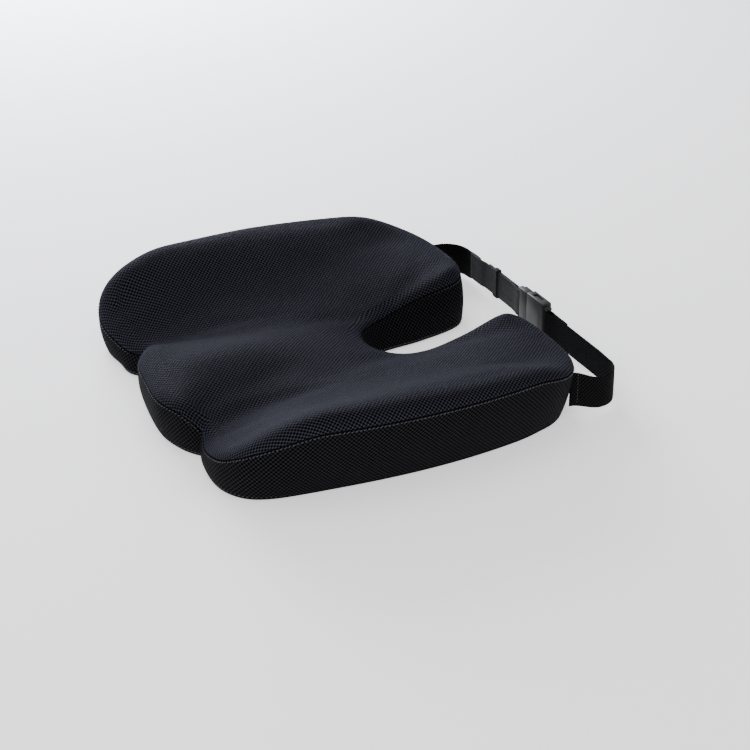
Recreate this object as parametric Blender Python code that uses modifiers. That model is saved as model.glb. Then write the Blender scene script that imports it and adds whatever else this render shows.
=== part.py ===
"""Coccyx seat cushion: foam core in a sewn mesh cover with a zip in its side band and a buckled rear strap.

Frame: origin on the underside, +X to the sitter's left, -Y to the front, +Z up. Lengths in metres.
"""
import math

import bmesh
import bpy
import numpy as np
from mathutils import Vector
from mathutils.geometry import delaunay_2d_cdt

for leftover in list(bpy.data.objects):
    bpy.data.objects.remove(leftover, do_unlink=True)

# ---------------------------------------------------------------- driving sizes
HALF_WIDTH = 0.221            # top seam at the widest place of the side
LENGTH = 0.381                # top seam, front of the centre lobe to the back of the rear lobes
RIM_HEIGHT = 0.085            # crest of the side rims above the underside
DRAWN_HALF_WIDTH = 0.221      # sizes at which the outline and height tables below are drawn
DRAWN_LENGTH = 0.381
DRAWN_RIM_HEIGHT = 0.085
X_SCALE = HALF_WIDTH / DRAWN_HALF_WIDTH
Y_SCALE = LENGTH / DRAWN_LENGTH
Z_SCALE = RIM_HEIGHT / DRAWN_RIM_HEIGHT
SIDE_RADIUS = 0.600 * Y_SCALE  # the long sides are true arcs, so the zip slider can run along one
SIDE_CENTRE_Y = 0.020 * Y_SCALE
SIDE_HALF_ANGLE = 10.5        # degrees each way from the widest place
SIDE_UNDERCUT = 0.021         # the side wall leans in by this much towards the underside
SIDE_CREST = 0.0155
SIDE_SEAM_Z = RIM_HEIGHT - SIDE_CREST
SHOULDER_INSET = 0.019

COVER_THICKNESS = 0.0025      # three layer air mesh
BASE_THICKNESS = 0.0020       # underside cloth
GAP = 0.0003                  # clearance between neighbouring pieces
THREAD_RADIUS = 0.0006

# Half outline of the top seam, front centre to the apex of the rear cut-out:
# x, y, seam height, wall undercut, rise of the shoulder, width of the shoulder
CENTRE_LOBE = [
    (0.000, -0.182, 0.0410, 0.003, 0.009, 0.018),
    (0.040, -0.181, 0.0370, 0.004, 0.009, 0.018),
    (0.066, -0.169, 0.0290, 0.001, 0.009, 0.014),
    (0.079, -0.160, 0.0190, -0.002, 0.009, 0.010),
    (0.087, -0.153, 0.0135, -0.004, 0.009, 0.009),
]
LEG_LOBE = [
    (0.104, -0.161, 0.0160, -0.001, 0.010, 0.012),
    (0.130, -0.166, 0.0230, 0.001, 0.011, 0.016),
    (0.155, -0.164, 0.0325, 0.003, 0.012, 0.018),
    (0.178, -0.152, 0.0450, 0.006, 0.013, 0.019),
    (0.196, -0.130, 0.0570, 0.014, 0.014, 0.019),
]
REAR_LOBE = [
    (0.204, 0.155, 0.0640, 0.017, 0.014, 0.019),
    (0.187, 0.176, 0.0580, 0.010, 0.012, 0.018),
    (0.159, 0.192, 0.0530, 0.004, 0.011, 0.017),
    (0.116, 0.199, 0.0500, 0.002, 0.010, 0.016),
    (0.076, 0.195, 0.0500, 0.002, 0.010, 0.013),
    (0.053, 0.180, 0.0500, 0.001, 0.010, 0.011),
    (0.048, 0.128, 0.0430, -0.002, 0.009, 0.012),
    (0.043, 0.096, 0.0390, -0.004, 0.008, 0.012),
    (0.033, 0.069, 0.0360, -0.005, 0.008, 0.013),
    (0.017, 0.053, 0.0350, -0.003, 0.008, 0.013),
    (0.000, 0.049, 0.0340, -0.002, 0.008, 0.014),
]
# Heights of the seat surface inside the shoulder: pommel ridge, thigh troughs, bowl, side rims, rear lobes
SEAT_HEIGHTS = [
    (0.000, -0.150, 0.0535), (0.000, -0.110, 0.0555), (0.000, -0.070, 0.0535), (0.000, -0.030, 0.0485),
    (0.000, 0.005, 0.0440), (0.040, -0.120, 0.0490), (0.040, -0.060, 0.0475), (0.045, 0.000, 0.0440),
    (0.085, -0.120, 0.0340), (0.086, -0.080, 0.0395), (0.090, -0.030, 0.0430), (0.095, 0.020, 0.0445),
    (0.130, -0.120, 0.0460), (0.135, -0.060, 0.0530), (0.135, 0.000, 0.0560), (0.135, 0.060, 0.0570),
    (0.170, -0.060, 0.0705), (0.172, 0.000, 0.0740), (0.170, 0.060, 0.0735), (0.150, 0.120, 0.0640),
    (0.090, 0.080, 0.0500), (0.100, 0.130, 0.0560),
]
STEPS_PER_SPAN = 3
SIDE_STEPS = 12
SEAT_GRID = 0.024             # spacing of the seat surface's inner points
SEAT_GRID_MARGIN = 0.011

# Zip in the right-hand side wall, measured across the zip (up the wall) and out of the wall
ZIP_MID_Z = 0.5 * SIDE_SEAM_Z
ZIP_WINDOW_HALF = 0.012
ZIP_END_STEPS = 1             # the window stops this many side steps short of the arc's ends
TAPE_INNER = -0.0009
TAPE_OUTER = -0.0002
ROW_GAP_HALF = 0.0006         # half the slit between the two rows of teeth
COIL_WIDTH = 0.0016
COIL_INNER = 0.0001
COIL_OUTER = 0.0016
ZIP_END_MARGIN = 0.0045       # window end to the end of the teeth
STOP_LENGTH = 0.0030
STOP_HALF_WIDTH = 0.0026
STOP_OUTER = 0.0021
SLIDER_LENGTH = 0.0120
SLIDER_HALF_WIDTH = 0.0042
SLIDER_PLATE_INNER = (-0.0022, -0.0013)
SLIDER_PLATE_OUTER = (0.0019, 0.0030)
SLIDER_FLANGE = 0.0011
SLIDER_FLANGE_FOOT = 0.0002
SLIDER_WEB_HALF = 0.0003
SLIDER_WEB_LENGTH = 0.0040
SLIDER_END_CLEARANCE = 0.0004
SLIDER_STEP = 0.0002          # small steps between the slider's plates, flanges, web and posts
BRIDGE_HALF_LENGTH = 0.0034
BRIDGE_HALF_WIDTH = 0.0012
BRIDGE_POST = 0.0012
BRIDGE_UNDERSIDE = 0.0052
BRIDGE_TOP = 0.0063
PULL_AXIS_OUT = 0.0041
PULL_PIN_RADIUS = 0.0006
PULL_HALF_WIDTH = 0.0035
PULL_ARM_WIDTH = 0.0011
PULL_THICKNESS = 0.0011
PULL_NECK = 0.0050
PULL_LENGTH = 0.0290
PULL_HOLE_RADIUS = 0.0016

# Rear strap: elastic bands standing on edge, closed behind the chair back by a side release buckle
STRAP_ROOT = (0.170 * X_SCALE, 0.186 * Y_SCALE)
STRAP_THICKNESS = 0.0016
STRAP_ROOT_HALF = 0.0180
STRAP_ROOT_Z = 0.0290 * Z_SCALE
STRAP_HALF = 0.0150
STRAP_Z = 0.0225
CHAIR_BACK_GAP = 0.0440       # rear lobes to the strap's rear run
STRAP_SIDE_X = STRAP_ROOT[0] + 0.0005
STRAP_TURN_RADIUS = 0.0250
STRAP_REAR_Y = REAR_LOBE[3][1] * Y_SCALE + CHAIR_BACK_GAP
STRAP_LOOP_RADIUS = 0.0022
STRAP_LAYER = 0.0019          # spacing of two strap layers sewn together
BAR_X = 0.0285                # strap bars stand this far each side of the buckle's middle
BAR_RADIUS = 0.0011
RIGHT_TAIL_X = 0.0620
LEFT_TAIL_X = -0.1000
BAND_END_X = -0.1180
WEBBING_END_X = -0.1350
KEEPER_X = -0.0820
KEEPER_LENGTH = 0.0080
KEEPER_WALL = 0.0012

# Buckle
BUCKLE_HALF_THICKNESS = 0.0055
BUCKLE_HALF_HEIGHT = 0.0215
SOCKET_MOUTH_X = -0.0080
SOCKET_END_X = 0.0248
SOCKET_WALL = 0.0018
SOCKET_CAVITY_END_X = 0.0205
SOCKET_CAVITY_HALF = 0.0185
WINDOW_X = (-0.0005, 0.0150)
WINDOW_HALF_THICKNESS = 0.0025
PLUG_HALF_HEIGHT = 0.0200
PLUG_HALF_THICKNESS = 0.0045
GUIDE_HALF_HEIGHT = 0.0040
GUIDE_HALF_THICKNESS = 0.0020
GUIDE_END_X = 0.0120
ARM_HALF_THICKNESS = 0.0022
ARM_PROFILE = [
    (-0.0078, 0.0112), (0.0165, 0.0112), (0.0185, 0.0130), (0.0130, 0.0203),
    (0.0010, 0.0203), (0.0010, 0.0150), (-0.0078, 0.0144),
]
FRAME_RAIL = 0.0032

# ---------------------------------------------------------------- collections and materials
pieces = bpy.data.collections.new("seat_cushion")
cutters = bpy.data.collections.new("seat_cushion_cutters")
bpy.context.scene.collection.children.link(pieces)
bpy.context.scene.collection.children.link(cutters)
cutters.hide_render = True


def material(name, colour, roughness, metallic=0.0):
    made = bpy.data.materials.new(name)
    made.use_nodes = True
    shader = made.node_tree.nodes["Principled BSDF"]
    shader.inputs["Base Color"].default_value = (*colour, 1.0)
    shader.inputs["Roughness"].default_value = roughness
    shader.inputs["Metallic"].default_value = metallic
    return made


def add_piece(name, mesh, colour, roughness, metallic=0.0):
    piece = bpy.data.objects.new(name, mesh)
    mesh.materials.append(material(name + "_material", colour, roughness, metallic))
    pieces.objects.link(piece)
    return piece


def closed_mesh(name, verts, faces):
    """Mesh with its faces turned outwards."""
    mesh = bpy.data.meshes.new(name)
    mesh.from_pydata([tuple(map(float, v)) for v in verts], [], faces)
    work = bmesh.new()
    work.from_mesh(mesh)
    bmesh.ops.recalc_face_normals(work, faces=work.faces)
    work.to_mesh(mesh)
    work.free()
    return mesh


# ---------------------------------------------------------------- outline
def side_station(angle):
    """Outline values on the long side's arc."""
    turn = math.radians(angle)
    x = HALF_WIDTH - SIDE_RADIUS + SIDE_RADIUS * math.cos(turn)
    y = SIDE_CENTRE_Y + SIDE_RADIUS * math.sin(turn)
    return np.array([x, y, SIDE_SEAM_Z, SIDE_UNDERCUT, SIDE_CREST, SHOULDER_INSET])


def curve_through(points, steps):
    """Centripetal curve through all but the first and last points; leaves out its final point."""
    made = []
    for p0, p1, p2, p3 in zip(points, points[1:], points[2:], points[3:]):
        knots = [0.0]
        for a, b in ((p0, p1), (p1, p2), (p2, p3)):
            knots.append(knots[-1] + math.sqrt(np.linalg.norm(b[:2] - a[:2])))
        t0, t1, t2, t3 = knots
        for step in range(steps):
            t = t1 + (t2 - t1) * step / steps
            a1 = (p0 * (t1 - t) + p1 * (t - t0)) / (t1 - t0)
            a2 = (p1 * (t2 - t) + p2 * (t - t1)) / (t2 - t1)
            a3 = (p2 * (t3 - t) + p3 * (t - t2)) / (t3 - t2)
            b1 = (a1 * (t2 - t) + a2 * (t - t0)) / (t2 - t0)
            b2 = (a2 * (t3 - t) + a3 * (t - t1)) / (t3 - t1)
            made.append((b1 * (t2 - t) + b2 * (t - t1)) / (t2 - t1))
    return made


def mirrored(station):
    return np.array([-station[0], *station[1:]])


def half_outline():
    scale = np.array([X_SCALE, Y_SCALE, Z_SCALE, 1.0, 1.0, 1.0])
    centre = [np.array(row) * scale for row in CENTRE_LOBE]
    leg = [np.array(row) * scale for row in LEG_LOBE]
    rear = [np.array(row) * scale for row in REAR_LOBE]
    step = 2.0 * SIDE_HALF_ANGLE / SIDE_STEPS
    side = [side_station(-SIDE_HALF_ANGLE + step * k) for k in range(SIDE_STEPS + 1)]
    notch = centre[-1]
    front = [mirrored(centre[1])] + centre + [2.0 * notch - centre[-2]]
    middle = [2.0 * notch - leg[0], notch] + leg + [side[0], side[1]]
    back = [side[-2], side[-1]] + rear + [mirrored(rear[-2])]
    stations = curve_through(front, STEPS_PER_SPAN)
    stations += curve_through(middle, STEPS_PER_SPAN)
    first_side = len(stations)
    stations += side[:-1]
    stations += curve_through(back, STEPS_PER_SPAN)
    stations.append(rear[-1])
    return stations, first_side


HALF, FIRST_SIDE = half_outline()
OUTLINE = np.array(HALF + [mirrored(s) for s in reversed(HALF[1:-1])])
COUNT = len(OUTLINE)


def inward_normals(ring):
    ahead = np.roll(ring, -1, axis=0) - ring
    behind = ring - np.roll(ring, 1, axis=0)
    ahead = ahead / np.linalg.norm(ahead, axis=1, keepdims=True)
    behind = behind / np.linalg.norm(behind, axis=1, keepdims=True)
    along = ahead + behind
    along = along / np.linalg.norm(along, axis=1, keepdims=True)
    return np.stack([-along[:, 1], along[:, 0]], axis=1)


INWARD = inward_normals(OUTLINE[:, :2])


def unit(a, b):
    length = math.hypot(a, b)
    return np.array([a / length, b / length])


def section(station, depth):
    """Wall and shoulder of one section, sunk by depth: (inward distance, height) pairs.

    The four corners are the wall's foot, the seam, the middle of the shoulder and its crest.
    """
    seam_z, undercut, crest, inset = station[2:]
    foot = np.array([undercut, 0.0])
    seam = np.array([0.0, seam_z])
    middle = np.array([0.35 * inset, seam_z + 0.75 * crest])
    top = np.array([inset, seam_z + crest])
    wall_normal = unit(-seam_z, -undercut)
    lower_normal = unit(-0.75 * crest, 0.35 * inset)
    upper_normal = unit(-0.25 * crest, 0.65 * inset)

    def sunk(point, first, second):
        return point - depth * (first + second) / (1.0 + first @ second)

    seam_in = sunk(seam, wall_normal, lower_normal)
    middle_in = sunk(middle, lower_normal, upper_normal)
    foot_in = foot - depth * wall_normal
    return foot_in, seam_in, middle_in, np.array([top[0], top[1] - depth])


def wall_at(station, depth, height):
    """Inward distance of the wall, sunk by depth, at a height."""
    foot_in, seam_in = section(station, depth)[:2]
    share = (height - foot_in[1]) / (seam_in[1] - foot_in[1])
    return foot_in[0] + (seam_in[0] - foot_in[0]) * share


def ring(distances, heights):
    """Points around the outline at inward distances and heights."""
    plan = OUTLINE[:, :2] + INWARD * np.asarray(distances)[:, None]
    return np.column_stack([plan, heights])


def corner_ring(depth, corner, lift=0.0):
    pairs = np.array([section(station, depth)[corner] for station in OUTLINE])
    return ring(pairs[:, 0], pairs[:, 1] + lift)


def wall_ring(depth, heights):
    distances = [wall_at(station, depth, z) for station, z in zip(OUTLINE, heights)]
    return ring(distances, heights)


# ---------------------------------------------------------------- seat surface
def smooth_surface(points, heights):
    """Thin plate surface through scattered heights."""
    count = len(points)

    def kernel(distance):
        return distance ** 2 * np.log(distance + 1e-9)

    between = np.linalg.norm(points[:, None] - points[None], axis=2)
    plane = np.column_stack([np.ones(count), points])
    matrix = np.zeros((count + 3, count + 3))
    matrix[:count, :count] = kernel(between)
    matrix[:count, count:] = plane
    matrix[count:, :count] = plane.T
    weights = np.linalg.solve(matrix, np.concatenate([heights, np.zeros(3)]))

    def height_at(where):
        reach = np.linalg.norm(where[:, None] - points[None], axis=2)
        return kernel(reach) @ weights[:count] + np.column_stack([np.ones(len(where)), where]) @ weights[count:]

    return height_at


def inside(ring_xy, where):
    """Whether each place lies inside the closed ring."""
    result = np.zeros(len(where), dtype=bool)
    for a, b in zip(ring_xy, np.roll(ring_xy, -1, axis=0)):
        crosses = (a[1] > where[:, 1]) != (b[1] > where[:, 1])
        rise = b[1] - a[1] if b[1] != a[1] else 1e-12
        result ^= crosses & (where[:, 0] < a[0] + (where[:, 1] - a[1]) * (b[0] - a[0]) / rise)
    return result


CREST = corner_ring(0.0, 3)


def seat_mesh_plan():
    """Triangles over the seat surface inside the shoulder's crest, and the inner points' places."""
    reach = np.arange(-10, 11) * SEAT_GRID
    grid = np.array([(x, y) for x in reach for y in reach])
    grid = grid[inside(CREST[:, :2], grid)]
    apart = np.linalg.norm(grid[:, None] - CREST[None, :, :2], axis=2).min(axis=1)
    grid = grid[apart > SEAT_GRID_MARGIN]
    places = [Vector(map(float, p)) for p in CREST[:, :2]] + [Vector(map(float, p)) for p in grid]
    edges = [(k, (k + 1) % COUNT) for k in range(COUNT)]
    found = delaunay_2d_cdt(places, edges, [], 1, 1e-6)
    origin_of = [sources[0] for sources in found[3]]
    return [tuple(origin_of[v] for v in face) for face in found[2]], grid


SEAT_FACES, SEAT_GRID_PLACES = seat_mesh_plan()
known = list(SEAT_HEIGHTS) + [(-x, y, z) for x, y, z in SEAT_HEIGHTS if x > 0.0]
known = np.array(known) * (X_SCALE, Y_SCALE, Z_SCALE)
HEIGHT_AT = smooth_surface(
    np.vstack([CREST[:, :2], known[:, :2]]),
    np.concatenate([CREST[:, 2], known[:, 2]]),
)
GRID_HEIGHTS = HEIGHT_AT(SEAT_GRID_PLACES)


def surface_top(depth, seam_lift):
    """Rings and faces of the top skin sunk by depth: seam, shoulder, crest and seat surface."""
    seam_ring = corner_ring(depth, 1, seam_lift)
    middle_ring = corner_ring(depth, 2)
    crest_ring = corner_ring(depth, 3)
    seat = np.column_stack([SEAT_GRID_PLACES, GRID_HEIGHTS - depth])
    verts = np.vstack([seam_ring, middle_ring, crest_ring, seat])
    faces = []
    for row in range(2):
        faces += split(strip(row * COUNT, (row + 1) * COUNT, COUNT))
    faces += [tuple(2 * COUNT + v for v in face) for face in SEAT_FACES]
    return verts, faces


def strip(first, second, count):
    """Quads between two rows of points."""
    return [(first + k, first + (k + 1) % count, second + (k + 1) % count, second + k) for k in range(count)]


def split(faces):
    """Cuts every quad along its first diagonal, so that neighbouring skins bend alike."""
    made = []
    for face in faces:
        if len(face) == 4:
            made += [face[:3], (face[0], face[2], face[3])]
        else:
            made.append(face)
    return made


def flipped(faces, shift=0):
    return [tuple(shift + v for v in reversed(face)) for face in faces]


# ---------------------------------------------------------------- foam core
WALL_TILT = math.atan2(SIDE_UNDERCUT, SIDE_SEAM_Z)
WINDOW_LOW = ZIP_MID_Z - ZIP_WINDOW_HALF * math.cos(WALL_TILT)
WINDOW_HIGH = ZIP_MID_Z + ZIP_WINDOW_HALF * math.cos(WALL_TILT)
BAND_LOW = BASE_THICKNESS + GAP
BAND_SHARES = [(z - BAND_LOW) / (SIDE_SEAM_Z - BAND_LOW) for z in (WINDOW_LOW, WINDOW_HIGH)]


def band_heights(share):
    """Heights of a row around the band, at a share of the way up each section."""
    return BAND_LOW + share * (OUTLINE[:, 2] - BAND_LOW)


FOAM_DEPTH = COVER_THICKNESS + GAP


def build_foam():
    rows = [wall_ring(FOAM_DEPTH, np.full(COUNT, BAND_LOW))]
    rows += [wall_ring(FOAM_DEPTH, band_heights(share)) for share in BAND_SHARES]
    top, top_faces = surface_top(FOAM_DEPTH, 0.0)
    verts = np.vstack(rows + [top])
    faces = []
    for row in range(len(rows)):
        faces += split(strip(row * COUNT, (row + 1) * COUNT, COUNT))
    faces += [tuple(len(rows) * COUNT + v for v in face) for face in top_faces]
    faces.append(tuple(reversed(range(COUNT))))
    return add_piece("foam_core", closed_mesh("foam_core", verts, faces), (0.62, 0.60, 0.52), 0.9)


# ---------------------------------------------------------------- cover
def build_top_panel():
    outer, faces_out = surface_top(0.0, 0.5 * GAP)
    inner, faces_in = surface_top(COVER_THICKNESS, 0.5 * GAP)
    verts = np.vstack([outer, inner])
    faces = faces_out + flipped(faces_in, len(outer))
    faces += split(strip(len(outer), 0, COUNT))
    return add_piece("cover_top_panel", closed_mesh("cover_top_panel", verts, faces), (0.012, 0.013, 0.018), 0.85)


def build_side_band():
    rows = []
    for depth in (0.0, COVER_THICKNESS):
        rows.append(wall_ring(depth, np.full(COUNT, BAND_LOW)))
        rows += [wall_ring(depth, band_heights(share)) for share in BAND_SHARES]
        rows.append(corner_ring(depth, 1, -0.5 * GAP))
    verts = np.vstack(rows)
    window_first = COUNT - FIRST_SIDE - SIDE_STEPS + ZIP_END_STEPS
    window_last = COUNT - FIRST_SIDE - ZIP_END_STEPS
    window = range(window_first, window_last)
    faces = []
    for row in range(3):
        outer = strip(row * COUNT, (row + 1) * COUNT, COUNT)
        inner = strip((row + 4) * COUNT, (row + 5) * COUNT, COUNT)
        for k in range(COUNT):
            if row == 1 and k in window:
                continue
            faces += split([outer[k]])
            faces += flipped(split([inner[k]]))
    faces += strip(4 * COUNT, 0, COUNT)
    faces += flipped(split(strip(7 * COUNT, 3 * COUNT, COUNT)))
    for k in window:
        after = (k + 1) % COUNT
        faces.append((COUNT + k, COUNT + after, 5 * COUNT + after, 5 * COUNT + k))
        faces.append((2 * COUNT + after, 2 * COUNT + k, 6 * COUNT + k, 6 * COUNT + after))
    faces.append((2 * COUNT + window_first, COUNT + window_first, 5 * COUNT + window_first, 6 * COUNT + window_first))
    faces.append((COUNT + window_last, 2 * COUNT + window_last, 6 * COUNT + window_last, 5 * COUNT + window_last))
    return add_piece("cover_side_band", closed_mesh("cover_side_band", verts, faces), (0.008, 0.008, 0.010), 0.9)


def build_bottom_panel():
    low = corner_ring(0.0, 0)
    high = wall_ring(0.0, np.full(COUNT, BASE_THICKNESS))
    verts = np.vstack([low, high])
    faces = strip(0, COUNT, COUNT)
    faces.append(tuple(range(COUNT, 2 * COUNT)))
    faces.append(tuple(reversed(range(COUNT))))
    return add_piece(
        "cover_bottom_panel", closed_mesh("cover_bottom_panel", verts, faces), (0.015, 0.015, 0.017), 0.8)


def build_thread(name, path):
    """Closed thread of square section around the outline."""
    radial = np.column_stack([-INWARD, np.zeros(COUNT)])
    upward = np.array([0.0, 0.0, 1.0])
    corners = [path + THREAD_RADIUS * radial, path + THREAD_RADIUS * upward]
    corners += [path - THREAD_RADIUS * radial, path - THREAD_RADIUS * upward]
    faces = []
    for side in range(4):
        faces += strip(side * COUNT, (side + 1) % 4 * COUNT, COUNT)
    return add_piece(name, closed_mesh(name, np.vstack(corners), faces), (0.10, 0.10, 0.12), 0.6)


THREAD_OUT = GAP + THREAD_RADIUS


def build_threads():
    seam = corner_ring(0.0, 1)
    seam[:, :2] -= INWARD * THREAD_OUT
    build_thread("top_seam_thread", seam)
    foot = wall_ring(0.0, np.full(COUNT, BASE_THICKNESS + 0.5 * GAP))
    foot[:, :2] -= INWARD * THREAD_OUT
    build_thread("bottom_seam_thread", foot)


# ---------------------------------------------------------------- zip
ZIP_AXIS_X = SIDE_RADIUS - HALF_WIDTH
ZIP_MID_RADIUS = SIDE_RADIUS - (SIDE_SEAM_Z - ZIP_MID_Z) * math.tan(WALL_TILT)
WINDOW_HALF_ANGLE = math.radians(SIDE_HALF_ANGLE * (1.0 - 2.0 * ZIP_END_STEPS / SIDE_STEPS))
TEETH_HALF_ANGLE = WINDOW_HALF_ANGLE - ZIP_END_MARGIN / ZIP_MID_RADIUS
SLIDER_HALF_TRAVEL = TEETH_HALF_ANGLE - (0.5 * SLIDER_LENGTH + SLIDER_END_CLEARANCE) / ZIP_MID_RADIUS


def zip_point(angle, across, out):
    """Place on the zip: angle along the arc, distance up the wall and distance out of it."""
    radius = ZIP_MID_RADIUS + across * math.sin(WALL_TILT) + out * math.cos(WALL_TILT)
    z = ZIP_MID_Z + across * math.cos(WALL_TILT) - out * math.sin(WALL_TILT)
    return (ZIP_AXIS_X - radius * math.cos(angle), SIDE_CENTRE_Y + radius * math.sin(angle), z)


def zip_strip(name, across, out, angles, steps, colour, roughness, metallic=0.0):
    """Bar of rectangular section swept along the zip."""
    corners = [(across[0], out[0]), (across[1], out[0]), (across[1], out[1]), (across[0], out[1])]
    verts = []
    for k in range(steps + 1):
        angle = angles[0] + (angles[1] - angles[0]) * k / steps
        verts += [zip_point(angle, u, w) for u, w in corners]
    faces = []
    for k in range(steps):
        faces += [(4 * k + c, 4 * k + (c + 1) % 4, 4 * k + 4 + (c + 1) % 4, 4 * k + 4 + c) for c in range(4)]
    faces.append((0, 1, 2, 3))
    faces.append(tuple(4 * steps + c for c in (3, 2, 1, 0)))
    return add_piece(name, closed_mesh(name, verts, faces), colour, roughness, metallic)


def build_zip():
    tape_end = WINDOW_HALF_ANGLE - GAP / ZIP_MID_RADIUS
    tape_edge = ZIP_WINDOW_HALF - GAP
    tape_steps = SIDE_STEPS - 2 * ZIP_END_STEPS
    for name, sign in (("upper", 1.0), ("lower", -1.0)):
        zip_strip("zip_tape_" + name, (sign * ROW_GAP_HALF, sign * tape_edge), (TAPE_INNER, TAPE_OUTER),
                  (-tape_end, tape_end), tape_steps, (0.02, 0.02, 0.022), 0.8)
        zip_strip("zip_coil_" + name, (sign * ROW_GAP_HALF, sign * (ROW_GAP_HALF + COIL_WIDTH)),
                  (COIL_INNER, COIL_OUTER), (-TEETH_HALF_ANGLE, TEETH_HALF_ANGLE), 2 * tape_steps,
                  (0.03, 0.03, 0.032), 0.4)
    stop_first = TEETH_HALF_ANGLE + GAP / ZIP_MID_RADIUS
    stop_last = stop_first + STOP_LENGTH / ZIP_MID_RADIUS
    for name, sign in (("rear", 1.0), ("front", -1.0)):
        zip_strip("zip_stop_" + name, (-STOP_HALF_WIDTH, STOP_HALF_WIDTH), (COIL_INNER, STOP_OUTER),
                  (sign * stop_first, sign * stop_last), 1, (0.10, 0.10, 0.11), 0.35, 1.0)


def box_data(low, high):
    """Corners and faces of a box."""
    verts = [(x, y, z) for x in (low[0], high[0]) for y in (low[1], high[1]) for z in (low[2], high[2])]
    faces = [(0, 1, 3, 2), (4, 6, 7, 5), (0, 4, 5, 1), (2, 3, 7, 6), (0, 2, 6, 4), (1, 5, 7, 3)]
    return verts, faces


def boolean(piece, other, operation):
    cut = piece.modifiers.new(operation.lower(), "BOOLEAN")
    cut.operation = operation
    cut.solver = "EXACT"
    cut.object = other


def cutter(name, mesh):
    made = bpy.data.objects.new(name, mesh)
    made.display_type = "WIRE"
    made.hide_render = True
    cutters.objects.link(made)
    return made


def placed_on_zip(verts, angle):
    """Turns (along, across, out) places into places at one spot of the zip."""
    origin = np.array(zip_point(angle, 0.0, 0.0))
    along = np.array([math.sin(angle), math.cos(angle), 0.0])
    across = np.array(zip_point(angle, 1.0, 0.0)) - origin
    out = np.array(zip_point(angle, 0.0, 1.0)) - origin
    return [origin + u * along + v * across + w * out for u, v, w in verts]


def build_slider():
    half = 0.5 * SLIDER_LENGTH
    wide = SLIDER_HALF_WIDTH
    step = SLIDER_STEP
    plate_mid = 0.5 * (SLIDER_PLATE_OUTER[0] + SLIDER_PLATE_OUTER[1])
    inner_mid = 0.5 * (SLIDER_PLATE_INNER[0] + SLIDER_PLATE_INNER[1])
    parts = [
        ((-half, -wide, SLIDER_PLATE_OUTER[0]), (half, wide, SLIDER_PLATE_OUTER[1])),
        ((-half, -wide, SLIDER_PLATE_INNER[0]), (half, wide, SLIDER_PLATE_INNER[1])),
        ((half - SLIDER_WEB_LENGTH, -SLIDER_WEB_HALF, inner_mid), (half - step, SLIDER_WEB_HALF, plate_mid)),
        ((-BRIDGE_HALF_LENGTH, -BRIDGE_HALF_WIDTH, BRIDGE_UNDERSIDE),
         (BRIDGE_HALF_LENGTH, BRIDGE_HALF_WIDTH, BRIDGE_TOP)),
    ]
    bridge_mid = 0.5 * (BRIDGE_UNDERSIDE + BRIDGE_TOP)
    post_half = BRIDGE_HALF_WIDTH - step
    for sign in (-1.0, 1.0):
        edge = sorted((sign * (wide - step), sign * (wide - SLIDER_FLANGE)))
        parts.append(((-half + step, edge[0], SLIDER_FLANGE_FOOT), (half - step, edge[1], plate_mid)))
        post = sorted((sign * (BRIDGE_HALF_LENGTH - step), sign * (BRIDGE_HALF_LENGTH - BRIDGE_POST)))
        parts.append(((post[0], -post_half, plate_mid), (post[1], post_half, bridge_mid)))
    slider = None
    for number, (low, high) in enumerate(parts):
        verts, faces = box_data(low, high)
        mesh = closed_mesh("zip_slider_body", placed_on_zip(verts, SLIDER_HALF_TRAVEL), faces)
        if slider is None:
            slider = add_piece("zip_slider_body", mesh, (0.05, 0.05, 0.055), 0.35, 1.0)
            continue
        boolean(slider, cutter("slider_part_%d" % number, mesh), "UNION")
    set_origin(slider, Vector((ZIP_AXIS_X, SIDE_CENTRE_Y, ZIP_MID_Z)))


def set_origin(piece, origin):
    """Moves the piece's origin without moving the piece."""
    for vert in piece.data.vertices:
        vert.co -= origin
    piece.location = origin


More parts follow.
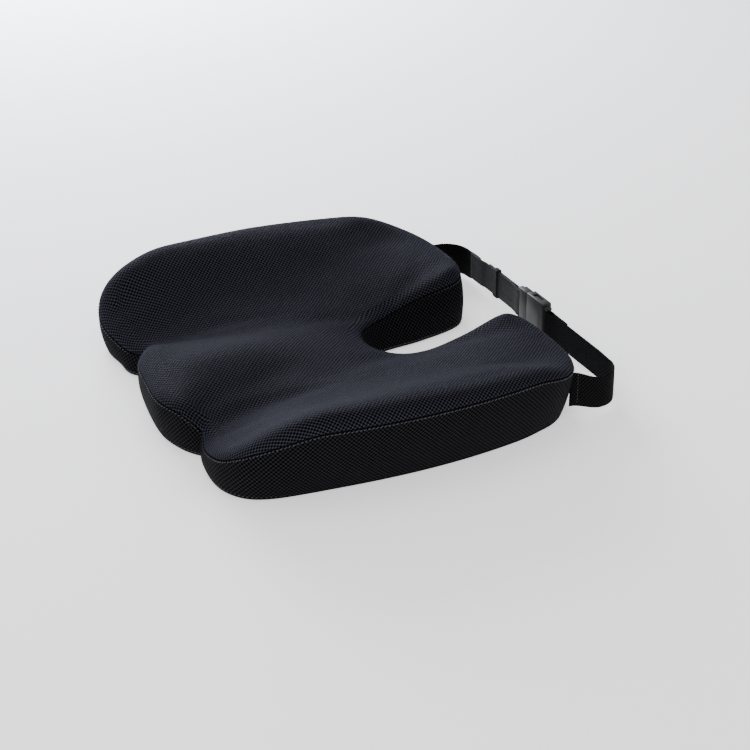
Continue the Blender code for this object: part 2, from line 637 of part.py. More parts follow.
def build_pull():
    """Pull tab lying along the zip towards the front, with a pin under the slider's bridge."""
    pin_half = PULL_HALF_WIDTH
    thick = 0.5 * PULL_THICKNESS
    outline = [
        (0.0008, -pin_half), (-PULL_NECK, -pin_half), (-PULL_LENGTH + 0.002, -pin_half), (-PULL_LENGTH, -0.0020),
        (-PULL_LENGTH, 0.0020), (-PULL_LENGTH + 0.002, pin_half), (-PULL_NECK, pin_half), (0.0008, pin_half),
        (0.0008, PULL_PIN_RADIUS),
    ]
    inner = pin_half - PULL_ARM_WIDTH
    outline = outline[:8] + [(0.0008, inner), (-PULL_NECK, inner), (-PULL_NECK, -inner), (0.0008, -inner)]
    verts = [(a, b, PULL_AXIS_OUT + side * thick) for side in (-1.0, 1.0) for a, b in outline]
    count = len(outline)
    faces = strip(0, count, count) + [tuple(range(count)), tuple(range(2 * count - 1, count - 1, -1))]
    mesh = closed_mesh("zip_pull_tab", placed_on_zip(verts, SLIDER_HALF_TRAVEL), faces)
    pull = add_piece("zip_pull_tab", mesh, (0.05, 0.05, 0.055), 0.35, 1.0)
    pin = []
    for b in (-inner - 0.0004, inner + 0.0004):
        for k in range(10):
            turn = 2.0 * math.pi * k / 10
            pin.append((PULL_PIN_RADIUS * math.cos(turn), b, PULL_AXIS_OUT + PULL_PIN_RADIUS * math.sin(turn)))
    faces = strip(0, 10, 10) + [tuple(range(10)), tuple(range(19, 9, -1))]
    pin_mesh = closed_mesh("pull_pin", placed_on_zip(pin, SLIDER_HALF_TRAVEL), faces)
    boolean(pull, cutter("pull_pin", pin_mesh), "UNION")
    hole = []
    for w in (-0.002, 0.002):
        for k in range(16):
            turn = 2.0 * math.pi * k / 16
            along = -PULL_LENGTH + 0.0048 + PULL_HOLE_RADIUS * math.cos(turn)
            hole.append((along, PULL_HOLE_RADIUS * math.sin(turn), PULL_AXIS_OUT + w))
    faces = strip(0, 16, 16) + [tuple(range(16)), tuple(range(31, 15, -1))]
    hole_mesh = closed_mesh("pull_hole", placed_on_zip(hole, SLIDER_HALF_TRAVEL), faces)
    boolean(pull, cutter("pull_hole", hole_mesh), "DIFFERENCE")
    set_origin(pull, Vector(zip_point(SLIDER_HALF_TRAVEL, 0.0, PULL_AXIS_OUT)))


# ---------------------------------------------------------------- strap
def ribbon(name, stations, colour, root=None):
    """Strap standing on edge through (x, y, middle height, half height) stations."""
    path = np.array(stations)
    along = np.gradient(path[:, :2], axis=0)
    steps = np.diff(path[:, :2], axis=0)
    steps = steps / np.linalg.norm(steps, axis=1, keepdims=True)
    along[0] = steps[0]
    along[-1] = steps[-1]
    along[1:-1] = steps[1:] + steps[:-1]
    length = np.linalg.norm(along, axis=1, keepdims=True)
    along = along / length
    side = np.column_stack([-along[:, 1], along[:, 0]])
    widen = np.ones(len(path))
    widen[1:-1] = 2.0 / length[1:-1, 0]
    verts = []
    for (x, y, z, half), normal, grow in zip(path, side, widen):
        shift = 0.5 * STRAP_THICKNESS * grow * normal
        for sx, dz in ((-1, -half), (1, -half), (1, half), (-1, half)):
            verts.append(np.array([x + sx * shift[0], y + sx * shift[1], z + dz]))
    if root is not None:
        for corner in range(4):
            verts[corner][:2] += root(verts[corner])
    faces = []
    for k in range(len(path) - 1):
        faces += [(4 * k + c, 4 * k + (c + 1) % 4, 4 * k + 4 + (c + 1) % 4, 4 * k + 4 + c) for c in range(4)]
    last = 4 * (len(path) - 1)
    faces.append((0, 1, 2, 3))
    faces.append((last + 3, last + 2, last + 1, last))
    return add_piece(name, closed_mesh(name, verts, faces), colour, 0.85)


def nearest_station(x, y):
    return int(np.argmin(np.hypot(OUTLINE[:, 0] - x, OUTLINE[:, 1] - y)))


def root_shift(side):
    """Moves the strap's end corners onto the leaning side wall, one clearance off it."""
    index = nearest_station(side * STRAP_ROOT[0], STRAP_ROOT[1])
    base = OUTLINE[index, :2]
    inward = INWARD[index]

    def shift(corner):
        wall = wall_at(OUTLINE[index], -1.5 * GAP, corner[2])
        away = (corner[:2] - base) @ inward - wall
        return np.array([0.0, -away / inward[1]])

    return shift


def strap_around(side):
    """Stations from the side wall round the corner to the start of the rear run."""
    turn_y = STRAP_REAR_Y - STRAP_TURN_RADIUS
    turn_x = STRAP_SIDE_X - STRAP_TURN_RADIUS
    stations = [(STRAP_SIDE_X, STRAP_ROOT[1], STRAP_ROOT_Z, STRAP_ROOT_HALF)]
    for share in (0.25, 0.5, 0.75, 1.0):
        ease = share * share * (3.0 - 2.0 * share)
        y = STRAP_ROOT[1] + (turn_y - STRAP_ROOT[1]) * share
        z = STRAP_ROOT_Z + (STRAP_Z + 0.001 - STRAP_ROOT_Z) * ease
        stations.append((STRAP_SIDE_X, y, z, STRAP_ROOT_HALF + (STRAP_HALF - STRAP_ROOT_HALF) * ease))
    for k in range(1, 9):
        turn = math.radians(90.0 * k / 8)
        x = turn_x + STRAP_TURN_RADIUS * math.cos(turn)
        y = turn_y + STRAP_TURN_RADIUS * math.sin(turn)
        stations.append((x, y, STRAP_Z + 0.001 * (1.0 - k / 8), STRAP_HALF))
    return [(side * x, y, z, half) for x, y, z, half in stations]


def bar_loop(side, tail_x):
    """Stations of a strap that rounds a buckle bar and runs back as a second layer."""
    y = STRAP_REAR_Y
    bend = STRAP_LOOP_RADIUS
    plan = [(BAR_X + 0.0200, 0.0), (BAR_X + 0.0120, -0.0006), (BAR_X + 0.0055, -0.0020)]
    for k in range(7):
        turn = math.radians(-90.0 - 30.0 * k)
        plan.append((BAR_X + bend * math.cos(turn), bend * math.sin(turn)))
    plan += [(BAR_X + 0.0055, 0.0022), (BAR_X + 0.0120, STRAP_LAYER + 0.0001), (BAR_X + 0.0200, STRAP_LAYER)]
    stations = [(side * x, y + dy, STRAP_Z, STRAP_HALF) for x, dy in plan]
    stations.append((tail_x, y + STRAP_LAYER, STRAP_Z, STRAP_HALF))
    return stations


def build_straps():
    strap_colour = (0.010, 0.010, 0.012)
    right = strap_around(1.0) + bar_loop(1.0, RIGHT_TAIL_X)
    ribbon("strap_right_band", right, strap_colour, root_shift(1.0))
    left = strap_around(-1.0) + [(BAND_END_X, STRAP_REAR_Y, STRAP_Z, STRAP_HALF)]
    ribbon("strap_left_band", left, strap_colour, root_shift(-1.0))
    inner_y = STRAP_REAR_Y - STRAP_LAYER
    webbing = [(WEBBING_END_X, inner_y, STRAP_Z, STRAP_HALF), (BAND_END_X, inner_y, STRAP_Z, STRAP_HALF)]
    webbing += [(BAND_END_X + 0.0070, inner_y + 0.0004, STRAP_Z, STRAP_HALF)]
    webbing += [(BAND_END_X + 0.0140, STRAP_REAR_Y, STRAP_Z, STRAP_HALF)]
    webbing += bar_loop(-1.0, LEFT_TAIL_X)
    ribbon("strap_left_webbing", webbing, strap_colour)
    keeper_low = (KEEPER_X - 0.5 * KEEPER_LENGTH, STRAP_REAR_Y - 0.5 * STRAP_THICKNESS - GAP - KEEPER_WALL,
                  STRAP_Z - STRAP_HALF - GAP - KEEPER_WALL)
    keeper_high = (KEEPER_X + 0.5 * KEEPER_LENGTH,
                   STRAP_REAR_Y + STRAP_LAYER + 0.5 * STRAP_THICKNESS + GAP + KEEPER_WALL,
                   STRAP_Z + STRAP_HALF + GAP + KEEPER_WALL)
    keeper = box_piece("strap_keeper", keeper_low, keeper_high, (0.02, 0.02, 0.022))
    wall = KEEPER_WALL
    cut_box(keeper, "keeper_hole", (keeper_low[0] - 0.01, keeper_low[1] + wall, keeper_low[2] + wall),
            (keeper_high[0] + 0.01, keeper_high[1] - wall, keeper_high[2] - wall))


# ---------------------------------------------------------------- buckle
def box_piece(name, low, high, colour, roughness=0.45):
    verts, faces = box_data(low, high)
    return add_piece(name, closed_mesh(name, verts, faces), colour, roughness)


def cut_box(piece, name, low, high):
    verts, faces = box_data(low, high)
    boolean(piece, cutter(name, closed_mesh(name, verts, faces)), "DIFFERENCE")


def join_box(piece, name, low, high):
    verts, faces = box_data(low, high)
    boolean(piece, cutter(name, closed_mesh(name, verts, faces)), "UNION")


def bevelled(piece, width):
    edge = piece.modifiers.new("edges", "BEVEL")
    edge.width = width
    edge.segments = 2
    edge.limit_method = "ANGLE"


def bar_frame(piece, name, side, inner_x):
    """Two rails and a round bar that carry a strap beside the buckle's body."""
    y = STRAP_REAR_Y
    slot = STRAP_HALF + GAP
    outer_x = BAR_X + BAR_RADIUS
    for tag, sign in (("upper", 1.0), ("lower", -1.0)):
        xs = sorted((side * inner_x, side * outer_x))
        zs = sorted((STRAP_Z + sign * slot, STRAP_Z + sign * (slot + FRAME_RAIL)))
        join_box(piece, "%s_rail_%s" % (name, tag), (xs[0], y - 0.0030, zs[0]), (xs[1], y + 0.0030, zs[1]))
    verts = []
    for z in (STRAP_Z - slot - 0.0010, STRAP_Z + slot + 0.0010):
        for k in range(12):
            turn = 2.0 * math.pi * k / 12
            verts.append((side * BAR_X + BAR_RADIUS * math.cos(turn), y + BAR_RADIUS * math.sin(turn), z))
    faces = strip(0, 12, 12) + [tuple(range(12)), tuple(range(23, 11, -1))]
    boolean(piece, cutter(name + "_bar", closed_mesh(name + "_bar", verts, faces)), "UNION")


def build_socket():
    y = STRAP_REAR_Y
    z = STRAP_Z
    plastic = (0.02, 0.02, 0.022)
    thick = BUCKLE_HALF_THICKNESS
    socket = box_piece("buckle_socket", (SOCKET_MOUTH_X, y - thick, z - BUCKLE_HALF_HEIGHT),
                       (SOCKET_END_X, y + thick, z + BUCKLE_HALF_HEIGHT), plastic)
    bevelled(socket, 0.0012)
    hollow = thick - SOCKET_WALL
    cut_box(socket, "socket_cavity", (SOCKET_MOUTH_X - 0.01, y - hollow, z - SOCKET_CAVITY_HALF),
            (SOCKET_CAVITY_END_X, y + hollow, z + SOCKET_CAVITY_HALF))
    cut_box(socket, "socket_windows", (WINDOW_X[0], y - WINDOW_HALF_THICKNESS, z - 0.03),
            (WINDOW_X[1], y + WINDOW_HALF_THICKNESS, z + 0.03))
    bar_frame(socket, "socket", 1.0, SOCKET_END_X - 0.001)


def build_plug():
    y = STRAP_REAR_Y
    z = STRAP_Z
    plastic = (0.02, 0.02, 0.022)
    front_x = SOCKET_MOUTH_X - GAP
    plug = box_piece("buckle_plug", (-SOCKET_END_X, y - PLUG_HALF_THICKNESS, z - PLUG_HALF_HEIGHT),
                     (front_x, y + PLUG_HALF_THICKNESS, z + PLUG_HALF_HEIGHT), plastic)
    bevelled(plug, 0.0012)
    join_box(plug, "plug_guide", (front_x - 0.002, y - GUIDE_HALF_THICKNESS, z - GUIDE_HALF_HEIGHT),
             (GUIDE_END_X, y + GUIDE_HALF_THICKNESS, z + GUIDE_HALF_HEIGHT))
    bar_frame(plug, "plug", -1.0, SOCKET_END_X - 0.001)
    for name, sign in (("upper", 1.0), ("lower", -1.0)):
        verts = []
        for dy in (-ARM_HALF_THICKNESS, ARM_HALF_THICKNESS):
            verts += [(x, y + dy, z + sign * h) for x, h in ARM_PROFILE]
        count = len(ARM_PROFILE)
        faces = strip(0, count, count) + [tuple(range(count)), tuple(range(2 * count - 1, count - 1, -1))]
        arm = add_piece("latch_arm_" + name, closed_mesh("latch_arm_" + name, verts, faces), plastic, 0.45)
        pivot_z = z + sign * 0.5 * (ARM_PROFILE[0][1] + ARM_PROFILE[-1][1])
        set_origin(arm, Vector((ARM_PROFILE[0][0], y, pivot_z)))


build_foam()
build_top_panel()
build_side_band()
build_bottom_panel()
build_threads()
build_zip()
build_slider()
build_pull()
build_straps()
build_socket()
build_plug()
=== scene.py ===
"""Looks of the seat cushion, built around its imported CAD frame.

Everything is in metres in the frame of the CAD model: +Z up, the sitter's front towards -Y.
"""
import math

import bpy
import numpy as np
from mathutils import Matrix, Vector
from mathutils.geometry import delaunay_2d_cdt


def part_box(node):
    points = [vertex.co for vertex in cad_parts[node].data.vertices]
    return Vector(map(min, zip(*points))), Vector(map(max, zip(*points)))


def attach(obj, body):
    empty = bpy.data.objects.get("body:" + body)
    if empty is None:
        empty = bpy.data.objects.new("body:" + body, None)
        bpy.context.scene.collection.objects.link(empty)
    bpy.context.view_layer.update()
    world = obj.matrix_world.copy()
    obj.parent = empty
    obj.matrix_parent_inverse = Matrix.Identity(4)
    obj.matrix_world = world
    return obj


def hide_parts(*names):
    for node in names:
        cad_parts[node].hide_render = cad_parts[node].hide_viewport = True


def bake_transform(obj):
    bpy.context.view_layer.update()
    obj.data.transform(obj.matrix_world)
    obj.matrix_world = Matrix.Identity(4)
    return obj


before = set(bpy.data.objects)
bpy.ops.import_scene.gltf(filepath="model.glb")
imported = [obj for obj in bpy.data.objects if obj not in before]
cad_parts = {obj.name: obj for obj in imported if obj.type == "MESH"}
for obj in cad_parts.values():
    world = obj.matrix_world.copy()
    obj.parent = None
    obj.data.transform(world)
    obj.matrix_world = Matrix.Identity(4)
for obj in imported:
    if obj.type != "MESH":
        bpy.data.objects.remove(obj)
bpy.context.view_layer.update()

# ---- sizes
SIDE_RADIUS = 0.600           # the long sides are arcs, which the zip follows
HALF_WIDTH = 0.221
SIDE_CENTRE_Y = 0.020
SIDE_HALF_ANGLE = 10.5        # degrees
SIDE_SEAM_Z = 0.0695
SIDE_UNDERCUT = 0.021
SHOULDER_INSET = 0.019
SIDE_CREST = 0.0150           # rise of the shoulder along the sides
SIDE_CREST_FALL = 0.0055      # how much lower it is at the rear
BAND_FOOT_Z = 0.0023
BAND_DROP = 0.0006            # the band's edge lies this far below the seam

# Half outline of the top seam: x, y, seam height, undercut, rise and width of the shoulder
CENTRE_LOBE = [
    (0.000, -0.182, 0.0410, 0.003, 0.009, 0.018),
    (0.040, -0.181, 0.0405, 0.004, 0.009, 0.018),
    (0.066, -0.169, 0.0400, 0.001, 0.007, 0.014),
    (0.079, -0.160, 0.0340, -0.002, 0.006, 0.010),
    (0.087, -0.153, 0.0215, -0.004, 0.006, 0.009),
]
LEG_LOBE = [
    (0.104, -0.161, 0.0185, -0.001, 0.010, 0.012),
    (0.130, -0.166, 0.0255, 0.001, 0.011, 0.016),
    (0.155, -0.164, 0.0325, 0.003, 0.012, 0.018),
    (0.178, -0.152, 0.0450, 0.006, 0.013, 0.019),
    (0.196, -0.130, 0.0570, 0.014, 0.014, 0.019),
]
REAR_LOBE = [
    (0.204, 0.155, 0.0640, 0.023, 0.0095, 0.019),
    (0.187, 0.176, 0.0580, 0.016, 0.0085, 0.018),
    (0.159, 0.192, 0.0530, 0.007, 0.009, 0.017),
    (0.116, 0.199, 0.0500, 0.002, 0.010, 0.016),
    (0.076, 0.195, 0.0500, 0.002, 0.011, 0.013),
    (0.053, 0.180, 0.0500, 0.001, 0.013, 0.012),
    (0.048, 0.128, 0.0405, -0.002, 0.006, 0.012),
    (0.043, 0.096, 0.0325, -0.004, 0.005, 0.012),
    (0.033, 0.069, 0.0295, -0.005, 0.006, 0.013),
    (0.017, 0.053, 0.0300, -0.003, 0.007, 0.013),
    (0.000, 0.049, 0.0305, -0.002, 0.008, 0.014),
]
# Seat surface inside the shoulder: pommel ridge, thigh troughs, bowl, side rims, rear lobes
SEAT_HEIGHTS = [
    (0.000, -0.150, 0.0550), (0.000, -0.110, 0.0590), (0.000, -0.070, 0.0575), (0.000, -0.030, 0.0510),
    (0.000, 0.005, 0.0450), (0.040, -0.120, 0.0480), (0.040, -0.060, 0.0475), (0.045, 0.000, 0.0440),
    (0.085, -0.120, 0.0340), (0.086, -0.080, 0.0395), (0.090, -0.030, 0.0430), (0.095, 0.020, 0.0445),
    (0.130, -0.120, 0.0460), (0.135, -0.060, 0.0530), (0.135, 0.000, 0.0560), (0.135, 0.060, 0.0560),
    (0.170, -0.060, 0.0705), (0.172, 0.000, 0.0730), (0.170, 0.060, 0.0710), (0.150, 0.120, 0.0620),
    (0.090, 0.080, 0.0480), (0.100, 0.130, 0.0540),
]
# The soft cushion is not quite even left to right: where, how wide, and by how much it gives there.
# Each row is (x, y), radius, then the change in x, y, seam height and undercut.
GIVES = [
    ((-0.190, -0.140), 0.045, (-0.006, -0.015, 0.000, 0.003)),
    ((-0.080, -0.160), 0.022, (0.000, 0.010, 0.000, 0.000)),
    ((-0.098, -0.157), 0.012, (0.000, -0.004, 0.000, -0.009)),
    ((-0.045, -0.180), 0.030, (0.000, 0.006, 0.000, 0.000)),
    ((0.070, -0.166), 0.022, (0.000, -0.004, 0.000, 0.000)),
    ((0.045, 0.086), 0.028, (0.000, 0.000, -0.0020, 0.000)),
    ((0.054, 0.178), 0.018, (-0.003, 0.001, 0.0015, 0.000)),
    ((0.185, -0.135), 0.050, (0.000, 0.000, 0.000, -0.004)),
    ((-0.046, 0.125), 0.040, (0.000, 0.000, 0.000, -0.014)),
]

COUNT = 440                   # points around the outline
FINER = 4                     # points of the rough outline to each kept one
CURVE_STEPS = 16
SEAT_GRID = 0.0050
GRID_REACH = 0.24             # half the length of a grid of points
ROW_SHARE = 0.866             # distance of a grid's rows, as a share of its spacing
CROWN = 0.0026                # how far the side wall swells between its seams

ZIP_MID_Z = 0.5 * SIDE_SEAM_Z
WALL_TILT = math.atan2(SIDE_UNDERCUT, SIDE_SEAM_Z)
ZIP_HALF = 0.0120
ZIP_RADIUS = SIDE_RADIUS - (SIDE_SEAM_Z - ZIP_MID_Z) * math.tan(WALL_TILT)
ZIP_AXIS_X = SIDE_RADIUS - HALF_WIDTH
ZIP_HALF_ANGLE = math.radians(SIDE_HALF_ANGLE * 10.0 / 12.0)
TEETH_HALF_ANGLE = ZIP_HALF_ANGLE - 0.0045 / ZIP_RADIUS   # leaves room for the end stops
ZIP_PITCH = 0.0016

STRAP_ROOT = (0.170, 0.186)
STRAP_ROOT_Z = 0.0290
STRAP_ROOT_HALF = 0.0180
STRAP_Z = 0.0225
STRAP_HALF = 0.0150
STRAP_SIDE_Z = 0.0200
STRAP_SIDE_HALF = 0.0165
STRAP_BOW = 0.0025            # the strap stands out a little where it turns
STRAP_THICKNESS = 0.0016
STRAP_REAR_Y = 0.243
STRAP_TURN = 0.025
STRAP_LAYER = 0.0019
STRAP_STEP = 0.0025
LOOP_RADIUS = 0.0022
BAR_X = 0.0285


# ---- meshes
def piece(name, verts, faces, material, uvs=None, uv_faces=None, smooth=True):
    """Mesh object; uvs are places on the cloth in metres, indexed by uv_faces or by the faces."""
    mesh = bpy.data.meshes.new(name)
    mesh.from_pydata([tuple(map(float, v)) for v in verts], [], [tuple(map(int, f)) for f in faces])
    if uvs is not None:
        layer = mesh.uv_layers.new(name="weave")
        order = faces if uv_faces is None else uv_faces
        flat = np.array([uvs[k] for face in order for k in face], dtype=np.float32)
        layer.data.foreach_set("uv", flat.ravel())
    mesh.validate()
    mesh.update()
    mesh.polygons.foreach_set("use_smooth", [smooth] * len(mesh.polygons))
    mesh.materials.append(material)
    made = bpy.data.objects.new(name, mesh)
    bpy.context.scene.collection.objects.link(made)
    return made


def tube(base, rings, sides, flip=False):
    """Faces of rings of points that follow each other, with both ends closed."""
    faces = []
    for r in range(rings - 1):
        for s in range(sides):
            a = base + r * sides + s
            b = base + r * sides + (s + 1) % sides
            faces.append((a, b, b + sides, a + sides))
    faces.append(tuple(base + s for s in reversed(range(sides))))
    faces.append(tuple(base + (rings - 1) * sides + s for s in range(sides)))
    return [face[::-1] for face in faces] if flip else faces


def applied(obj):
    """Replaces the mesh by what its modifiers make of it."""
    bpy.context.view_layer.update()
    shape = bpy.data.meshes.new_from_object(obj.evaluated_get(bpy.context.evaluated_depsgraph_get()))
    obj.modifiers.clear()
    obj.data = shape
    return obj


def subdivided(obj):
    surface = obj.modifiers.new("smooth", "SUBSURF")
    surface.levels = 1
    surface.render_levels = 1
    surface.boundary_smooth = "PRESERVE_CORNERS"


def thickened(obj, thickness):
    """Gives a skin its thickness, inwards."""
    shell = obj.modifiers.new("thickness", "SOLIDIFY")
    shell.thickness = thickness
    shell.offset = -1.0


def placed(obj, body, replaced=()):
    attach(obj, body)
    if replaced:
        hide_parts(*replaced)


# ---- outline
def curve_through(points, steps):
    """Centripetal curve through all but the first and last points; leaves out its final point."""
    made = []
    for p0, p1, p2, p3 in zip(points, points[1:], points[2:], points[3:]):
        knots = [0.0]
        for a, b in ((p0, p1), (p1, p2), (p2, p3)):
            knots.append(knots[-1] + math.sqrt(np.linalg.norm(b[:2] - a[:2])))
        t0, t1, t2, t3 = knots
        for step in range(steps):
            t = t1 + (t2 - t1) * step / steps
            a1 = (p0 * (t1 - t) + p1 * (t - t0)) / (t1 - t0)
            a2 = (p1 * (t2 - t) + p2 * (t - t1)) / (t2 - t1)
            a3 = (p2 * (t3 - t) + p3 * (t - t2)) / (t3 - t2)
            b1 = (a1 * (t2 - t) + a2 * (t - t0)) / (t2 - t0)
            b2 = (a2 * (t3 - t) + a3 * (t - t1)) / (t3 - t1)
            made.append((b1 * (t2 - t) + b2 * (t - t1)) / (t2 - t1))
    return made


def mirrored(station):
    return np.array([-station[0], *station[1:]])


def side_station(angle):
    turn = math.radians(angle)
    y = SIDE_CENTRE_Y + SIDE_RADIUS * math.sin(turn)
    crest = SIDE_CREST - SIDE_CREST_FALL * min(max((y - 0.01) / 0.11, 0.0), 1.0)
    x = SIDE_RADIUS * math.cos(turn) - ZIP_AXIS_X
    return np.array([x, y, SIDE_SEAM_Z, SIDE_UNDERCUT, crest, SHOULDER_INSET])


def gaussian_ring(values, spread):
    """Closed rows of values smoothed over a number of neighbours."""
    reach = int(3 * spread) + 1
    weights = np.exp(-0.5 * (np.arange(-reach, reach + 1) / spread) ** 2)
    weights /= weights.sum()
    return sum(w * np.roll(values, k, axis=0) for w, k in zip(weights, range(-reach, reach + 1)))


def whole_outline():
    centre, leg, rear = ([np.array(row) for row in lobe] for lobe in (CENTRE_LOBE, LEG_LOBE, REAR_LOBE))
    side = [side_station(-SIDE_HALF_ANGLE + 2.0 * SIDE_HALF_ANGLE * k / 60) for k in range(61)]
    notch = centre[-1]
    half = curve_through([mirrored(centre[1])] + centre + [2.0 * notch - centre[-2]], CURVE_STEPS)
    half += curve_through([2.0 * notch - leg[0], notch] + leg + [side[0], side[5]], CURVE_STEPS)
    half += side[:-1]
    half += curve_through([side[-6], side[-1]] + rear + [mirrored(rear[-2])], CURVE_STEPS)
    half.append(rear[-1])
    ring = np.array(half + [mirrored(s) for s in reversed(half[1:-1])])
    closed = np.vstack([ring, ring[:1]])
    run = np.concatenate([[0.0], np.cumsum(np.linalg.norm(np.diff(closed[:, :2], axis=0), axis=1))])
    places = run[-1] * np.arange(COUNT * FINER) / (COUNT * FINER)
    dense = np.column_stack([np.interp(places, run, closed[:, c]) for c in range(6)])
    dense = gaussian_ring(dense, 3.0)
    dense[:, 2:] = gaussian_ring(dense[:, 2:], 8.0)
    moved = dense.copy()
    for place, radius, change in GIVES:
        away = np.hypot(dense[:, 0] - place[0], dense[:, 1] - place[1])
        moved[:, :4] += np.exp(-0.5 * (away / radius) ** 2)[:, None] * np.array(change)
    return moved[::FINER]


OUTLINE = whole_outline()
AHEAD = np.roll(OUTLINE[:, :2], -1, axis=0) - np.roll(OUTLINE[:, :2], 1, axis=0)
AHEAD = AHEAD / np.linalg.norm(AHEAD, axis=1, keepdims=True)
INWARD = np.column_stack([-AHEAD[:, 1], AHEAD[:, 0]])
RUN = np.concatenate([[0.0], np.cumsum(np.linalg.norm(
    np.roll(OUTLINE[:, :2], -1, axis=0) - OUTLINE[:, :2], axis=1))])


def ring(inward, heights):
    """Points around the outline at inward distances and heights."""
    plan = OUTLINE[:, :2] + INWARD * np.broadcast_to(inward, COUNT)[:, None]
    return np.column_stack([plan, np.broadcast_to(heights, COUNT)])


SEAM_Z, UNDERCUT, RISE, INSET = OUTLINE[:, 2:].T


def zip_angles(points):
    """Turn of each point about the zip's axis, from its middle."""
    return np.arctan2(points[:, 1] - SIDE_CENTRE_Y, ZIP_AXIS_X - points[:, 0])


NEAR_ZIP = (OUTLINE[:, 0] < -0.15) & (np.abs(zip_angles(OUTLINE)) < ZIP_HALF_ANGLE + 0.05)
FLATTEN = gaussian_ring(NEAR_ZIP.astype(float), 6.0)


# ---- seat surface
def smooth_surface(points, heights):
    """Thin plate surface through scattered heights."""
    count = len(points)

    def kernel(distance):
        return distance ** 2 * np.log(distance + 1e-9)

    between = np.linalg.norm(points[:, None] - points[None], axis=2)
    plane = np.column_stack([np.ones(count), points])
    matrix = np.zeros((count + 3, count + 3))
    matrix[:count, :count] = kernel(between)
    matrix[:count, count:] = plane
    matrix[count:, :count] = plane.T
    weights = np.linalg.solve(matrix, np.concatenate([heights, np.zeros(3)]))

    def height_at(where):
        reach = np.linalg.norm(where[:, None] - points[None], axis=2)
        return kernel(reach) @ weights[:count] + np.column_stack([np.ones(len(where)), where]) @ weights[count:]

    return height_at


def inside(ring_xy, where):
    result = np.zeros(len(where), dtype=bool)
    for a, b in zip(ring_xy, np.roll(ring_xy, -1, axis=0)):
        crosses = (a[1] > where[:, 1]) != (b[1] > where[:, 1])
        rise = b[1] - a[1] if b[1] != a[1] else 1e-12
        result ^= crosses & (where[:, 0] < a[0] + (where[:, 1] - a[1]) * (b[0] - a[0]) / rise)
    return result


CREST = ring(INSET, SEAM_Z + RISE)
seat_points = np.array(SEAT_HEIGHTS + [(-x, y, z) for x, y, z in SEAT_HEIGHTS if x > 0.0])
HEIGHT_AT = smooth_surface(
    np.vstack([CREST[::4, :2], seat_points[:, :2]]),
    np.concatenate([CREST[::4, 2], seat_points[:, 2]]),
)


def grid_inside(edge, spacing, margin):
    """Staggered rows of points inside a ring, at least a margin away from it."""
    rows = int(GRID_REACH / (spacing * ROW_SHARE))
    grid = []
    for row in range(-rows, rows + 1):
        shift = 0.5 * spacing * (row % 2)
        grid += [(shift + spacing * k, row * spacing * ROW_SHARE) for k in range(-60, 61)]
    grid = np.array(grid)
    grid = grid[inside(edge, grid)]
    apart = np.array([np.hypot(*(edge - p).T).min() for p in grid])
    return grid[apart > margin]


def triangles(edge, grid=()):
    """Triangles that fill a ring of points, through the points of a grid inside it."""
    places = [Vector(map(float, p)) for p in [*edge, *grid]]
    edges = [(k, (k + 1) % COUNT) for k in range(COUNT)]
    found = delaunay_2d_cdt(places, edges, [], 1, 1e-6)
    origin_of = [sources[0] for sources in found[3]]
    return [tuple(origin_of[v] for v in face) for face in found[2]]


def strip(first, second):
    """Quads between two closed rows of points."""
    return [(first + k, first + (k + 1) % COUNT, second + (k + 1) % COUNT, second + k) for k in range(COUNT)]


# ---- materials
def new_material(name):
    made = bpy.data.materials.new(name)
    made.use_nodes = True
    tree = made.node_tree
    return made, tree, tree.nodes["Principled BSDF"]


def node(tree, kind, **settings):
    made = tree.nodes.new(kind)
    for key, value in settings.items():
        setattr(made, key, value)
    return made


def put(tree, target, value):
    """Sets a socket to a number or colour, or links another socket to it."""
    if isinstance(value, bpy.types.NodeSocket):
        tree.links.new(value, target)
    else:
        target.default_value = value


def maths(tree, operation, a, b):
    made = node(tree, "ShaderNodeMath", operation=operation)
    put(tree, made.inputs[0], a)
    put(tree, made.inputs[1], b)
    return made.outputs[0]


def vector_maths(tree, operation, a, b=(0.0, 0.0, 0.0)):
    made = node(tree, "ShaderNodeVectorMath", operation=operation)
    put(tree, made.inputs[0], a)
    put(tree, made.inputs[1], b)
    return made.outputs["Value" if operation == "LENGTH" else "Vector"]


def ramp(tree, value, low, high, first=0.0, last=1.0):
    made = node(tree, "ShaderNodeMapRange", interpolation_type="SMOOTHSTEP")
    put(tree, made.inputs[0], value)
    for socket, number in zip(list(made.inputs)[1:5], (low, high, first, last)):
        socket.default_value = number
    return made.outputs[0]


def mixed(tree, share, first, second):
    made = node(tree, "ShaderNodeMix", data_type="RGBA")
    put(tree, made.inputs["Factor"], share)
    put(tree, made.inputs[6], first)
    put(tree, made.inputs[7], second)
    return made.outputs[2]


def noise(tree, vector, scale, detail):
    made = node(tree, "ShaderNodeTexNoise")
    tree.links.new(vector, made.inputs["Vector"])
    made.inputs["Scale"].default_value = scale
    made.inputs["Detail"].default_value = detail
    return made.outputs["Fac"]


def bumped(tree, shader, height, distance):
    made = node(tree, "ShaderNodeBump")
    made.inputs["Strength"].default_value = 1.0
    made.inputs["Distance"].default_value = distance
    tree.links.new(height, made.inputs["Height"])
    tree.links.new(made.outputs["Normal"], shader.inputs["Normal"])


def cloth_places(tree):
    """Places on the cloth in metres."""
    return node(tree, "ShaderNodeUVMap", uv_map="weave").outputs["UV"]


def object_places(tree):
    return node(tree, "ShaderNodeTexCoord").outputs["Object"]


def sheen(shader, weight, roughness, tint):
    shader.inputs["Sheen Weight"].default_value = weight
    shader.inputs["Sheen Roughness"].default_value = roughness
    shader.inputs["Sheen Tint"].default_value = (*tint, 1.0)


